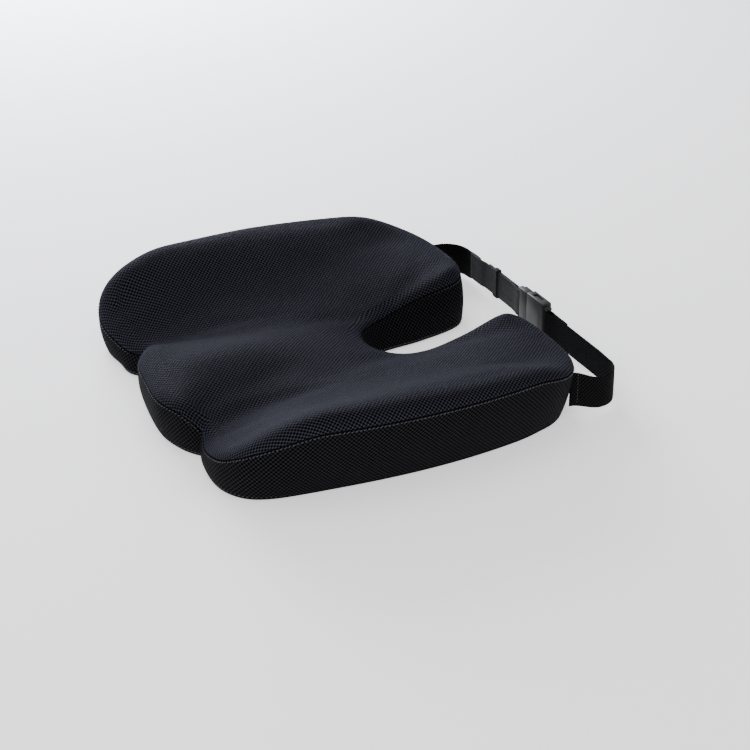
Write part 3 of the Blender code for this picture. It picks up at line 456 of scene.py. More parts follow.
def air_mesh(name, pitch, yarn, hole_shade, sheen_weight, sheen_width, sheen_tint, hole_size, bump=0.0006):
    """Spacer mesh: staggered round holes in a knitted face, with its fine ribs and a little lint."""
    made, tree, shader = new_material(name)
    places = cloth_places(tree)
    cell = vector_maths(tree, "MULTIPLY", places, (1.0 / pitch, 1.0 / pitch, 0.0))
    wobble = node(tree, "ShaderNodeTexNoise")
    wobble.inputs["Scale"].default_value = 90.0
    tree.links.new(places, wobble.inputs["Vector"])
    drift = vector_maths(tree, "MULTIPLY", wobble.outputs["Color"], (0.22, 0.22, 0.0))
    cell = vector_maths(tree, "ADD", cell, drift)
    near = []
    for shift in (0.0, 0.5):
        moved = vector_maths(tree, "ADD", cell, (shift, shift, 0.0))
        part = vector_maths(tree, "FRACTION", moved)
        near.append(vector_maths(tree, "LENGTH", vector_maths(tree, "SUBTRACT", part, (0.5, 0.5, 0.0))))
    closest = maths(tree, "MINIMUM", near[0], near[1])
    open_part = ramp(tree, closest, hole_size - 0.08, hole_size + 0.05, 1.0, 0.0)
    rib = node(tree, "ShaderNodeTexWave", wave_type="BANDS", bands_direction="X")
    tree.links.new(cell, rib.inputs["Vector"])
    rib.inputs["Scale"].default_value = 1.9
    fibre = noise(tree, places, 2600.0, 3.0)
    cloud = noise(tree, places, 22.0, 3.0)
    light = tuple(min(1.0, c * 1.75) for c in yarn)
    dark = tuple(c * 0.62 for c in yarn)
    base = mixed(tree, ramp(tree, fibre, 0.3, 0.7), (*dark, 1.0), (*light, 1.0))
    base = mixed(tree, ramp(tree, cloud, 0.35, 0.7, 0.0, 0.35), base, (*yarn, 1.0))
    # the holes get a near-black colour: painted shade inside the openings
    base = mixed(tree, open_part, base, (*hole_shade, 1.0))
    tree.links.new(base, shader.inputs["Base Color"])
    rough = ramp(tree, fibre, 0.2, 0.8, 0.62, 0.86)
    tree.links.new(rough, shader.inputs["Roughness"])
    shader.inputs["Specular IOR Level"].default_value = 0.02
    sheen(shader, sheen_weight, sheen_width, sheen_tint)
    knit = maths(tree, "MULTIPLY", rib.outputs["Fac"], 0.16)
    lint = maths(tree, "MULTIPLY", fibre, 0.22)
    height = maths(tree, "SUBTRACT", maths(tree, "ADD", knit, lint), open_part)
    bumped(tree, shader, height, bump)
    return made


def webbing(name, colour, pitch=0.0013):
    """Flat woven strap: herringbone picks across it and fine yarn."""
    made, tree, shader = new_material(name)
    places = cloth_places(tree)
    split = node(tree, "ShaderNodeSeparateXYZ")
    tree.links.new(places, split.inputs[0])
    fold = maths(tree, "PINGPONG", split.outputs["Y"], 0.0042)
    slant = maths(tree, "ADD", split.outputs["X"], maths(tree, "MULTIPLY", fold, 0.9))
    picks = maths(tree, "PINGPONG", slant, 0.5 * pitch)
    height = ramp(tree, picks, 0.0, 0.42 * pitch)
    fibre = noise(tree, places, 2400.0, 3.0)
    dark = tuple(0.35 * c for c in colour)
    light = tuple(1.8 * c for c in colour)
    base = mixed(tree, height, (*dark, 1.0), (*light, 1.0))
    base = mixed(tree, ramp(tree, fibre, 0.3, 0.7, 0.0, 0.5), base, (*colour, 1.0))
    tree.links.new(base, shader.inputs["Base Color"])
    tree.links.new(ramp(tree, fibre, 0.2, 0.8, 0.5, 0.78), shader.inputs["Roughness"])
    shader.inputs["Specular IOR Level"].default_value = 0.12
    sheen(shader, 0.03, 0.40, (0.6, 0.62, 0.75))
    bumped(tree, shader, maths(tree, "ADD", height, maths(tree, "MULTIPLY", fibre, 0.3)), 0.00025)
    return made


def grained(name, colour, rough, metallic=0.0, scale=900.0, edge_glint=0.35, coat=0.0):
    """Moulded plastic or metal: fine grain, uneven gloss and a painted highlight along sharp edges."""
    made, tree, shader = new_material(name)
    places = object_places(tree)
    grain = noise(tree, places, scale, 4.0)
    patch = noise(tree, places, 45.0, 3.0)
    edge = node(tree, "ShaderNodeNewGeometry").outputs["Pointiness"]
    # sharp convex edges are painted paler: a painted highlight along them
    glint_share = ramp(tree, edge, 0.52, 0.60, 0.0, edge_glint)
    glint_colour = tuple(min(1.0, 2.4 * c + 0.02) for c in colour)
    base = mixed(tree, ramp(tree, patch, 0.3, 0.7, 0.0, 0.4), (*colour, 1.0), (*(1.5 * c for c in colour), 1.0))
    base = mixed(tree, glint_share, base, (*glint_colour, 1.0))
    tree.links.new(base, shader.inputs["Base Color"])
    tree.links.new(ramp(tree, patch, 0.25, 0.75, rough - 0.06, rough + 0.10), shader.inputs["Roughness"])
    shader.inputs["Metallic"].default_value = metallic
    shader.inputs["Coat Weight"].default_value = coat
    shader.inputs["Specular IOR Level"].default_value = 0.3
    bumped(tree, shader, grain, 0.00004)
    return made


def twisted_thread(name, colour):
    """Sewing thread with its ply twist."""
    made, tree, shader = new_material(name)
    places = object_places(tree)
    twist = node(tree, "ShaderNodeTexWave", wave_type="BANDS", bands_direction="DIAGONAL")
    tree.links.new(places, twist.inputs["Vector"])
    twist.inputs["Scale"].default_value = 700.0
    fibre = noise(tree, places, 5000.0, 2.0)
    share = ramp(tree, maths(tree, "ADD", twist.outputs["Fac"], maths(tree, "MULTIPLY", fibre, 0.4)), 0.2, 1.1)
    base = mixed(tree, share, (*(0.5 * c for c in colour), 1.0), (*colour, 1.0))
    tree.links.new(base, shader.inputs["Base Color"])
    shader.inputs["Roughness"].default_value = 0.55
    sheen(shader, 0.2, 0.4, (0.8, 0.8, 0.85))
    bumped(tree, shader, twist.outputs["Fac"], 0.0001)
    return made


def rubber_dots(name):
    made, tree, shader = new_material(name)
    places = object_places(tree)
    patch = noise(tree, places, 260.0, 3.0)
    tree.links.new(mixed(tree, patch, (0.012, 0.012, 0.013, 1.0), (0.030, 0.030, 0.032, 1.0)),
                   shader.inputs["Base Color"])
    tree.links.new(ramp(tree, patch, 0.3, 0.7, 0.32, 0.5), shader.inputs["Roughness"])
    bumped(tree, shader, patch, 0.00005)
    return made


# the hole colours given here are painted shade inside each mesh's openings
TOP_MESH = air_mesh("mesh_top", 0.0041, (0.0295, 0.0292, 0.0400), (0.0002, 0.0002, 0.0003),
                    0.042, 0.22, (0.42, 0.45, 1.0), 0.312)
SIDE_MESH = air_mesh("mesh_side", 0.0044, (0.0150, 0.0148, 0.0178), (0.0002, 0.0002, 0.0002),
                     0.006, 0.30, (0.75, 0.78, 0.95), 0.32)
STRAP_MESH = air_mesh("strap_elastic", 0.0035, (0.0100, 0.0100, 0.0110), (0.0002, 0.0002, 0.0002),
                      0.010, 0.30, (0.8, 0.8, 0.9), 0.31, bump=0.0004)
WEBBING = webbing("strap_webbing", (0.0105, 0.0105, 0.0115))
KEEPER = webbing("keeper", (0.0080, 0.0080, 0.0090), pitch=0.0009)
ZIP_TAPE = webbing("zip_tape", (0.0110, 0.0110, 0.0120), pitch=0.0007)
BASE_CLOTH = air_mesh("base_cloth", 0.0016, (0.0130, 0.0130, 0.0140), (0.006, 0.006, 0.007),
                      0.05, 0.40, (0.8, 0.8, 0.9), 0.16, bump=0.0002)
THREAD = twisted_thread("thread", (0.066, 0.066, 0.076))
DARK_THREAD = twisted_thread("thread_dark", (0.045, 0.045, 0.050))
PLASTIC = grained("buckle", (0.0085, 0.0085, 0.0092), 0.46)
TEETH = grained("zip_teeth", (0.0160, 0.0160, 0.0170), 0.36, scale=2200.0)
# its sharp edges get a stronger painted highlight
METAL = grained("zip_metal", (0.060, 0.061, 0.066), 0.34, metallic=0.9, edge_glint=0.6, coat=0.15)
DOTS = rubber_dots("rubber_dots")


def foam_material():
    made, tree, shader = new_material("foam")
    places = object_places(tree)
    cells = node(tree, "ShaderNodeTexVoronoi")
    cells.inputs["Scale"].default_value = 700.0
    tree.links.new(places, cells.inputs["Vector"])
    tone = noise(tree, places, 30.0, 3.0)
    base = mixed(tree, cells.outputs["Distance"], (0.42, 0.40, 0.31, 1.0), (0.70, 0.67, 0.55, 1.0))
    tree.links.new(mixed(tree, ramp(tree, tone, 0.3, 0.7, 0.0, 0.4), base, (0.62, 0.56, 0.40, 1.0)),
                   shader.inputs["Base Color"])
    shader.inputs["Roughness"].default_value = 0.95
    bumped(tree, shader, cells.outputs["Distance"], 0.0005)
    return made


FOAM = foam_material()


# ---- top panel
HEM = 0.0024                  # the seam allowance that is turned in
ROLL = (12.0, 26.0, 40.0, 54.0, 68.0, 80.0)
SLACK = 0.0010                # the seat starts this far below its final height
PUFF_OUT = 0.0030             # how far the simulation may move a point outwards and inwards
PUFF_IN = 0.0006
PRESSURE = 4.0


def shoulder_ring(turn, depth=0.0):
    """Ring of the rolled shoulder, from the seam at 0 degrees to the crest at 90."""
    a = math.radians(turn)
    inward = INSET * (1.0 - math.cos(a)) ** 1.15 + depth
    return ring(inward, SEAM_Z + RISE * math.sin(a) ** 0.92 - depth)


def top_places(rings, grid):
    """Cloth places: plan places, with the shoulder unrolled outwards from its crest."""
    flat = [CREST[:, :2]]
    inner = CREST
    for points in reversed(rings):
        step = np.linalg.norm(points - inner, axis=1)
        flat.insert(0, flat[0] - INWARD * step[:, None])
        inner = points
    return np.vstack(flat + [grid])


def build_top():
    rings = [ring(HEM + 0.0010, SEAM_Z - 0.0045), ring(HEM + 0.0006, SEAM_Z - 0.0003),
             ring(0.0012, SEAM_Z - 0.0002), ring(0.0002, SEAM_Z + 0.0007)]
    rings += [shoulder_ring(turn) for turn in ROLL]
    grid = grid_inside(CREST[:, :2], SEAT_GRID, 0.7 * SEAT_GRID)
    verts = np.vstack(rings + [CREST, np.column_stack([grid, HEIGHT_AT(grid) - SLACK])])
    faces = []
    for row in range(len(rings)):
        faces += strip(row * COUNT, (row + 1) * COUNT)
    faces += [tuple(len(rings) * COUNT + v for v in face) for face in triangles(CREST[:, :2], grid)]
    return piece("cover_top_panel_cloth", verts, faces, TOP_MESH, top_places(rings, grid))


def relaxed(obj, fixed, rounds):
    """Evens out the surface, leaving the first vertices where they are."""
    mesh = obj.data
    places = np.empty(len(mesh.vertices) * 3)
    mesh.vertices.foreach_get("co", places)
    places = places.reshape(-1, 3)
    ends = np.empty(len(mesh.edges) * 2, dtype=int)
    mesh.edges.foreach_get("vertices", ends)
    ends = ends.reshape(-1, 2)
    share = np.zeros(len(places))
    np.add.at(share, ends[:, 0], 1.0)
    np.add.at(share, ends[:, 1], 1.0)
    hold = np.clip((np.arange(len(places)) - fixed) / (2.0 * COUNT), 0.0, 1.0)[:, None]
    for _ in range(rounds):
        total = np.zeros_like(places)
        np.add.at(total, ends[:, 0], places[ends[:, 1]])
        np.add.at(total, ends[:, 1], places[ends[:, 0]])
        step = total / share[:, None] - places
        places = places + 0.5 * hold * step
    mesh.vertices.foreach_set("co", places.ravel())
    mesh.update()


def puffed(obj, fixed):
    """Cloth pulled over its filling: a short pressure simulation, with each point's way capped."""
    mesh = obj.data
    before = np.array([v.co for v in mesh.vertices])
    pins = obj.vertex_groups.new(name="sewn")
    pins.add(list(range(fixed)), 1.0, "REPLACE")
    pins.add(list(range(fixed, fixed + 2 * COUNT)), 0.5, "REPLACE")
    cloth = obj.modifiers.new("puff", "CLOTH")
    setting = cloth.settings
    setting.quality = 6
    setting.mass = 0.25
    setting.tension_stiffness = 18.0
    setting.compression_stiffness = 18.0
    setting.shear_stiffness = 8.0
    setting.bending_stiffness = 0.6
    setting.use_pressure = True
    setting.uniform_pressure_force = PRESSURE
    setting.effector_weights.gravity = 0.0
    setting.vertex_group_mass = "sewn"
    cloth.collision_settings.use_collision = False
    cloth.collision_settings.use_self_collision = False
    cloth.point_cache.frame_start = 1
    cloth.point_cache.frame_end = 20
    scene = bpy.context.scene
    for step in range(1, 21):
        scene.frame_set(step)
    shape = obj.evaluated_get(bpy.context.evaluated_depsgraph_get()).to_mesh()
    after = np.array([v.co for v in shape.vertices])
    obj.modifiers.clear()
    scene.frame_set(1)
    out = np.array([v.normal for v in mesh.vertices])
    lift = ((after - before) * out).sum(axis=1, keepdims=True)
    way = out * np.clip(lift, -PUFF_IN, PUFF_OUT)
    mesh.vertices.foreach_set("co", (before + way).ravel())
    mesh.update()


top = build_top()
SEWN = 4 * COUNT              # the turned-in allowance and the seam stay where they are
relaxed(top, SEWN, 6)
puffed(top, SEWN)
relaxed(top, SEWN, 4)
subdivided(top)
thickened(top, 0.0010)
applied(top)
placed(top, "cushion", ("cover_top_panel",))


# ---- side band
def wall_ring(share, depth=0.0):
    """Ring on the side wall at a share of its height, with the wall's swell."""
    z = BAND_FOOT_Z + share * (SEAM_Z - BAND_DROP - BAND_FOOT_Z)
    lean = UNDERCUT * (1.0 - z / SEAM_Z)
    swell = CROWN * math.sin(math.pi * min(max(share, 0.0), 1.0)) ** 0.8 * (1.0 - FLATTEN)
    swell *= np.clip(SEAM_Z / 0.04, 0.3, 1.0)
    return ring(lean - swell + depth, z)


def closed_path(points):
    return np.vstack([points, points[:1]])


def build_band():
    wall = SIDE_SEAM_Z - BAND_DROP - BAND_FOOT_Z
    window_half = ZIP_HALF * math.cos(WALL_TILT)
    window_low = (ZIP_MID_Z - window_half - BAND_FOOT_Z) / wall
    window_high = (ZIP_MID_Z + window_half - BAND_FOOT_Z) / wall
    lower = [0.0, 0.012, 0.035, 0.08, 0.14, 0.22]
    middle = list(np.linspace(window_low, window_high, 7))
    upper = [0.74, 0.82, 0.89, 0.94, 0.975, 1.0]
    shares = [s for s in lower if s < window_low - 0.03] + middle + [s for s in upper if s > window_high + 0.03]
    rings = [ring(UNDERCUT + HEM, BAND_FOOT_Z + 0.0002), ring(UNDERCUT + 0.0012, BAND_FOOT_Z + 0.0001)]
    rings += [wall_ring(share) for share in shares]
    rings += [ring(0.0012, SEAM_Z - 0.0008), ring(HEM, SEAM_Z - 0.0009)]
    first = 2 + shares.index(middle[0])
    last = 2 + shares.index(middle[-1])
    climb = np.zeros(COUNT + 1)
    uvs = []
    before = closed_path(rings[0])
    for points in rings:
        closed = closed_path(points)
        climb = climb + np.linalg.norm(closed - before, axis=1)
        uvs.append(np.column_stack([RUN, climb]))
        before = closed
    faces = []
    uv_faces = []
    turn = zip_angles(0.5 * (OUTLINE + np.roll(OUTLINE, -1, axis=0)))
    for row in range(len(rings) - 1):
        for k in range(COUNT):
            if OUTLINE[k, 0] < -0.15 and abs(turn[k]) < ZIP_HALF_ANGLE and first <= row < last:
                continue
            after = (k + 1) % COUNT
            low = row * COUNT
            faces.append((low + k, low + after, low + COUNT + after, low + COUNT + k))
            low = row * (COUNT + 1)
            uv_faces.append((low + k, low + k + 1, low + COUNT + k + 2, low + COUNT + k + 1))
    made = piece("cover_side_band_cloth", np.vstack(rings), faces, SIDE_MESH, np.vstack(uvs), uv_faces)
    subdivided(made)
    thickened(made, 0.0008)
    return applied(made)


placed(build_band(), "cushion", ("cover_side_band",))


# ---- underside and filling
def build_bottom():
    foot = UNDERCUT * (1.0 - BAND_FOOT_Z / SEAM_Z)
    rings = [ring(foot + HEM, 0.0019), ring(foot + 0.0010, 0.0019), ring(foot + 0.0001, 0.0015),
             ring(foot + 0.0003, 0.0009), ring(foot + 0.0016, 0.0006)]
    verts = np.vstack(rings)
    faces = []
    for row in range(len(rings) - 1):
        faces += strip((row + 1) * COUNT, row * COUNT)
    last = (len(rings) - 1) * COUNT
    faces += [tuple(last + v for v in reversed(face)) for face in triangles(rings[-1][:, :2])]
    made = piece("cover_bottom_cloth", verts, faces, BASE_CLOTH, verts[:, :2])
    thickened(made, 0.0008)
    return applied(made)


def build_dots(spacing, radius):
    """Raised rubber grip dots in staggered rows over the underside."""
    verts = []
    faces = []
    sides = 8
    for x, y in grid_inside(ring(UNDERCUT + 0.012, 0.0)[:, :2], spacing, 0.004):
        faces += tube(len(verts), 3, sides, True)
        for share, z in ((1.0, 0.0007), (0.92, 0.0003), (0.55, 0.0)):
            for k in range(sides):
                a = math.radians(360.0 * k / sides)
                verts.append((x + share * radius * math.cos(a), y + share * radius * math.sin(a), z))
    return piece("grip_dots", verts, faces, DOTS)


def build_filling():
    """Foam under the cover, a cover's thickness inside it."""
    depth = 0.0055
    rings = [ring(UNDERCUT + depth, 0.0030), ring(UNDERCUT + depth - 0.001, 0.0045),
             wall_ring(0.3, depth), wall_ring(0.65, depth), wall_ring(0.9, depth + 0.0005)]
    rings += [shoulder_ring(turn, depth) for turn in (26.0, 54.0)]
    rings.append(CREST - (0.0, 0.0, depth))
    grid = grid_inside(CREST[:, :2], 0.010, 0.007)
    verts = np.vstack(rings + [np.column_stack([grid, HEIGHT_AT(grid) - depth])])
    faces = []
    last = len(rings) - 1
    for row in range(last):
        faces += strip(row * COUNT, (row + 1) * COUNT)
    faces += [tuple(last * COUNT + v for v in face) for face in triangles(CREST[:, :2], grid)]
    faces += [face[::-1] for face in triangles(rings[0][:, :2])]
    return piece("foam_filling", verts, faces, FOAM)


placed(build_bottom(), "cushion", ("cover_bottom_panel",))
placed(build_dots(0.0095, 0.0021), "cushion")
placed(build_filling(), "cushion", ("foam_core",))


# ---- stitches
def stitched(name, points, outward, pitch, length, radius, slant=0.0, lift=0.0003, material=DARK_THREAD,
             replaced=()):
    """Row of separate stitches on a path: short arched threads whose ends dive into the cloth."""
    steps = np.linalg.norm(np.diff(points, axis=0), axis=1)
    run = np.concatenate([[0.0], np.cumsum(steps)])
    total = run[-1]
    count = max(1, int(total / pitch))
    sides = 6
    profile = [(-0.5, -0.9), (-0.38, 0.35), (-0.15, 0.95), (0.15, 0.95), (0.38, 0.35), (0.5, -0.9)]

    def at(place, values):
        return np.array([np.interp(place, run, values[:, c]) for c in range(3)])

    verts = []
    faces = []
    for k in range(count):
        middle = total * (k + 0.5) / count
        faces += tube(len(verts), len(profile), sides)
        for along, rise in profile:
            place = min(max(middle + along * length, 0.0), total)
            spot = at(place, points)
            out = at(place, outward)
            out /= np.linalg.norm(out)
            ahead = at(min(place + 0.0004, total), points) - at(max(place - 0.0004, 0.0), points)
            ahead /= np.linalg.norm(ahead) + 1e-12
            across = np.cross(out, ahead)
            centre = spot + out * (lift * rise) + across * (slant * along)
            for s in range(sides):
                a = 2.0 * math.pi * s / sides
                verts.append(centre + radius * (math.cos(a) * out + math.sin(a) * across))
    placed(piece(name, verts, faces, material), "cushion", replaced)


OUTWARD = np.column_stack([-INWARD, np.zeros(COUNT)])
seam_path = wall_ring(1.0) + OUTWARD * 0.0001 - np.array([0.0, 0.0, 0.0012])
seam_out = OUTWARD + np.array([0.0, 0.0, 0.25])
stitched("top_seam_stitches", closed_path(seam_path), closed_path(seam_out),
         0.0038, 0.0023, 0.00032, 0.0009, 0.00035, THREAD, replaced=("top_seam_thread",))
foot_path = wall_ring(0.0) + OUTWARD * 0.0001 + np.array([0.0, 0.0, 0.0014])
stitched("bottom_seam_stitches", closed_path(foot_path), closed_path(OUTWARD),
         0.0042, 0.0032, 0.00026, 0.0006, replaced=("bottom_seam_thread",))


# ---- zip
def zip_point(angle, across, out):
    """Place on the zip: angle along the arc, distance up the wall and distance out of it."""
    radius = ZIP_RADIUS + across * math.sin(WALL_TILT) + out * math.cos(WALL_TILT)
    z = ZIP_MID_Z + across * math.cos(WALL_TILT) - out * math.sin(WALL_TILT)
    return (-(radius * math.cos(angle) - ZIP_AXIS_X), SIDE_CENTRE_Y + radius * math.sin(angle), z)


def zip_tape(name, sign):
    """Woven tape with a raised selvedge beside the teeth."""
    rows = [(0.0006, -0.0009), (0.0006, -0.0003), (0.0012, -0.0001), (0.0022, -0.0002), (0.0070, -0.0003),
            (0.0118, -0.0002), (0.0128, -0.0006), (0.0128, -0.0009)]
    steps = 90
    verts = []
    uvs = []
    for k in range(steps + 1):
        angle = -ZIP_HALF_ANGLE - 0.002 + (2.0 * ZIP_HALF_ANGLE + 0.004) * k / steps
        verts += [zip_point(angle, sign * u, w) for u, w in rows]
        uvs += [(angle * ZIP_RADIUS, sign * u) for u, w in rows]
    return piece(name, verts, tube(0, steps + 1, len(rows), sign < 0), ZIP_TAPE, uvs)


def zip_teeth(name, sign):
    """Coil of moulded loops: each tooth bends over the tape's edge to a rounded head."""
    shape = [(0.0024, 0.0000), (0.0024, 0.0008), (0.0014, 0.0015), (0.0004, 0.0016), (0.0001, 0.0010),
             (0.0004, 0.0001)]
    centre_u, centre_w = 0.0013, 0.0008
    count = int(2.0 * TEETH_HALF_ANGLE * ZIP_RADIUS / ZIP_PITCH)
    half = 0.30 * ZIP_PITCH / ZIP_RADIUS
    verts = []
    faces = []
    for k in range(count):
        middle = -TEETH_HALF_ANGLE + 2.0 * TEETH_HALF_ANGLE * (k + (0.25 if sign > 0 else 0.75)) / count
        faces += tube(len(verts), 4, len(shape), sign > 0)
        for along, shrink in ((-1.0, 0.75), (-0.55, 1.0), (0.55, 1.0), (1.0, 0.75)):
            verts += [zip_point(middle + along * half, sign * (centre_u + shrink * (u - centre_u)),
                                centre_w + shrink * (w - centre_w)) for u, w in shape]
    return piece(name, verts, faces, TEETH, smooth=False)


for side, sign in (("upper", 1.0), ("lower", -1.0)):
    placed(zip_tape("zip_tape_%s_woven" % side, sign), "cushion", ("zip_tape_" + side,))
    placed(zip_teeth("zip_teeth_%s" % side, sign), "cushion", ("zip_coil_" + side,))


# stitch rows above and below the zip, on the folded edge of the side band
window_turns = np.linspace(-ZIP_HALF_ANGLE, ZIP_HALF_ANGLE, 120)
for tag, across in (("upper", ZIP_HALF + 0.0016), ("lower", -ZIP_HALF - 0.0016)):
    path = np.array([zip_point(a, across, 0.00012) for a in window_turns])
    out = np.array([zip_point(a, across, 0.00112) for a in window_turns]) - path
    stitched("zip_stitches_" + tag, path, out, 0.0030, 0.0023, 0.00025)


# ---- hard parts kept from the CAD shape
def refined(name, node_name, body, material, bevel):
    """The CAD solid with its edges rounded, as its own piece."""
    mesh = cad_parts[node_name].data.copy()
    made = bpy.data.objects.new(name, mesh)
    bpy.context.scene.collection.objects.link(made)
    mesh.materials.clear()
    mesh.materials.append(material)
    weld = made.modifiers.new("weld", "WELD")
    weld.merge_threshold = 0.00002
    flat = made.modifiers.new("flat", "DECIMATE")
    flat.decimate_type = "DISSOLVE"
    flat.angle_limit = math.radians(2.0)
    edge = made.modifiers.new("edges", "BEVEL")
    edge.width = bevel
    edge.segments = 3
    edge.limit_method = "ANGLE"
    edge.angle_limit = math.radians(28.0)
    applied(made)
    for polygon in made.data.polygons:
        polygon.use_smooth = True
    made.data.set_sharp_from_angle(angle=math.radians(34.0))
    placed(made, body, (node_name,))


refined("zip_slider", "zip_slider_body", "zip_slider", METAL, 0.00030)
refined("zip_pull", "zip_pull_tab", "zip_pull", METAL, 0.00028)
refined("zip_stop_front_crimp", "zip_stop_front", "cushion", METAL, 0.0005)
refined("zip_stop_rear_crimp", "zip_stop_rear", "cushion", METAL, 0.0005)
refined("buckle_socket_shell", "buckle_socket", "cushion", PLASTIC, 0.00045)
refined("buckle_plug_body", "buckle_plug", "buckle_plug", PLASTIC, 0.00045)
refined("latch_upper", "latch_arm_upper", "latch_arm_upper", PLASTIC, 0.0004)
refined("latch_lower", "latch_arm_lower", "latch_arm_lower", PLASTIC, 0.0004)


# ---- straps
def eased(share):
    return share * share * (3.0 - 2.0 * share)


def around(side):
    """Strap stations (x, y, middle height, half height) from the side wall to the rear run."""
    turn_x = STRAP_ROOT[0] + 0.0005 - STRAP_TURN
    turn_y = STRAP_REAR_Y - STRAP_TURN
    stations = []
    for k in range(13):
        share = k / 12.0
        ease = eased(share)
        y = STRAP_ROOT[1] - 0.0020 + (turn_y - STRAP_ROOT[1] + 0.0020) * share
        stations.append((turn_x + STRAP_TURN + STRAP_BOW * ease, y,
                         STRAP_ROOT_Z + (STRAP_SIDE_Z - STRAP_ROOT_Z) * ease,
                         STRAP_ROOT_HALF + (STRAP_SIDE_HALF - STRAP_ROOT_HALF) * ease))
    for k in range(1, 25):
        a = math.radians(90.0 * k / 24)
        stations.append((turn_x + (STRAP_TURN + STRAP_BOW) * math.cos(a), turn_y + STRAP_TURN * math.sin(a),
                         STRAP_SIDE_Z, STRAP_SIDE_HALF))
    for k in range(1, 9):
        share = k / 8.0
        ease = eased(share)
        stations.append((turn_x - 0.0200 * share, STRAP_REAR_Y, STRAP_SIDE_Z + (STRAP_Z - STRAP_SIDE_Z) * ease,
                         STRAP_SIDE_HALF + (STRAP_HALF - STRAP_SIDE_HALF) * ease))
    return [(side * x, y, z, half) for x, y, z, half in stations]


def bar_loop(side, tail_x):
    """Stations of a strap that rounds a buckle bar and runs back as a second layer."""
    plan = [(BAR_X + 0.0200, 0.0), (BAR_X + 0.0120, -0.0006), (BAR_X + 0.0055, -0.0020)]
    for k in range(13):
        a = math.radians(-90.0 - 15.0 * k)
        plan.append((BAR_X + LOOP_RADIUS * math.cos(a), LOOP_RADIUS * math.sin(a)))
    plan += [(BAR_X + 0.0055, 0.0022), (BAR_X + 0.0120, STRAP_LAYER + 0.0001), (BAR_X + 0.0200, STRAP_LAYER)]
    stations = [(side * x, STRAP_REAR_Y + dy, STRAP_Z, STRAP_HALF) for x, dy in plan]
    steps = 18
    start = stations[-1][0]
    stations += [(start + (tail_x - start) * k / steps, STRAP_REAR_Y + STRAP_LAYER, STRAP_Z, STRAP_HALF)
                 for k in range(1, steps + 1)]
    return stations


def evened(stations):
    """Long straight stretches cut into short ones."""
    made = [np.array(stations[0], dtype=float)]
    for station in stations[1:]:
        station = np.array(station, dtype=float)
        parts = max(1, int(np.linalg.norm(station[:2] - made[-1][:2]) / STRAP_STEP))
        start = made[-1]
        made += [start + (station - start) * k / parts for k in range(1, parts + 1)]
    return np.array(made)


def ribbon(name, stations, material):
    """Strap standing on edge, with soft rounded borders and a slightly fuller middle."""
    path = evened(stations)
    along = np.gradient(path[:, :2], axis=0)
    along /= np.linalg.norm(along, axis=1, keepdims=True)
    side = np.column_stack([-along[:, 1], along[:, 0]])
    run = np.concatenate([[0.0], np.cumsum(np.linalg.norm(np.diff(path[:, :2], axis=0), axis=1))])
    half_thick = 0.5 * STRAP_THICKNESS
    shape = [(-1.0, 0.30), (-0.985, 0.75), (-0.94, 1.0), (-0.88, 0.80), (-0.80, 0.92), (-0.4, 1.0), (0.0, 1.0),
             (0.4, 1.0), (0.80, 0.92), (0.88, 0.80), (0.94, 1.0), (0.985, 0.75), (1.0, 0.30)]
    loop = shape + [(h, -t) for h, t in reversed(shape)]
    n = len(loop)
    verts = []
    uvs = []
    for (x, y, z, half), normal, place in zip(path, side, run):
        for h, t in loop:
            verts.append((x + t * half_thick * normal[0], y + t * half_thick * normal[1], z + h * half))
            uvs.append((place, h * STRAP_HALF + (0.2 if t < 0.0 else 0.0)))
    faces = []
    for k in range(len(path) - 1):
        faces += [(n * k + c, n * k + n + c, n * k + n + (c + 1) % n, n * k + (c + 1) % n) for c in range(n)]
    last = n * (len(path) - 1)
    faces.append(tuple(range(n)))
    faces.append(tuple(last + c for c in reversed(range(n))))
    return piece(name, verts, faces, material, uvs)


right = around(1.0) + bar_loop(1.0, 0.0620)
placed(ribbon("strap_right", right, STRAP_MESH), "cushion", ("strap_right_band",))
left = around(-1.0) + [(-0.1180, STRAP_REAR_Y, STRAP_Z, STRAP_HALF)]
placed(ribbon("strap_left", left, STRAP_MESH), "cushion", ("strap_left_band",))
inner_y = STRAP_REAR_Y - STRAP_LAYER
web = [(-0.1350, inner_y, STRAP_Z, STRAP_HALF), (-0.1180, inner_y, STRAP_Z, STRAP_HALF),
       (-0.1110, inner_y + 0.0004, STRAP_Z, STRAP_HALF), (-0.1040, STRAP_REAR_Y, STRAP_Z, STRAP_HALF)]
web += bar_loop(-1.0, -0.1000)
webbing_piece = ribbon("strap_left_woven", web, WEBBING)
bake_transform(webbing_piece)
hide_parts("strap_left_webbing")


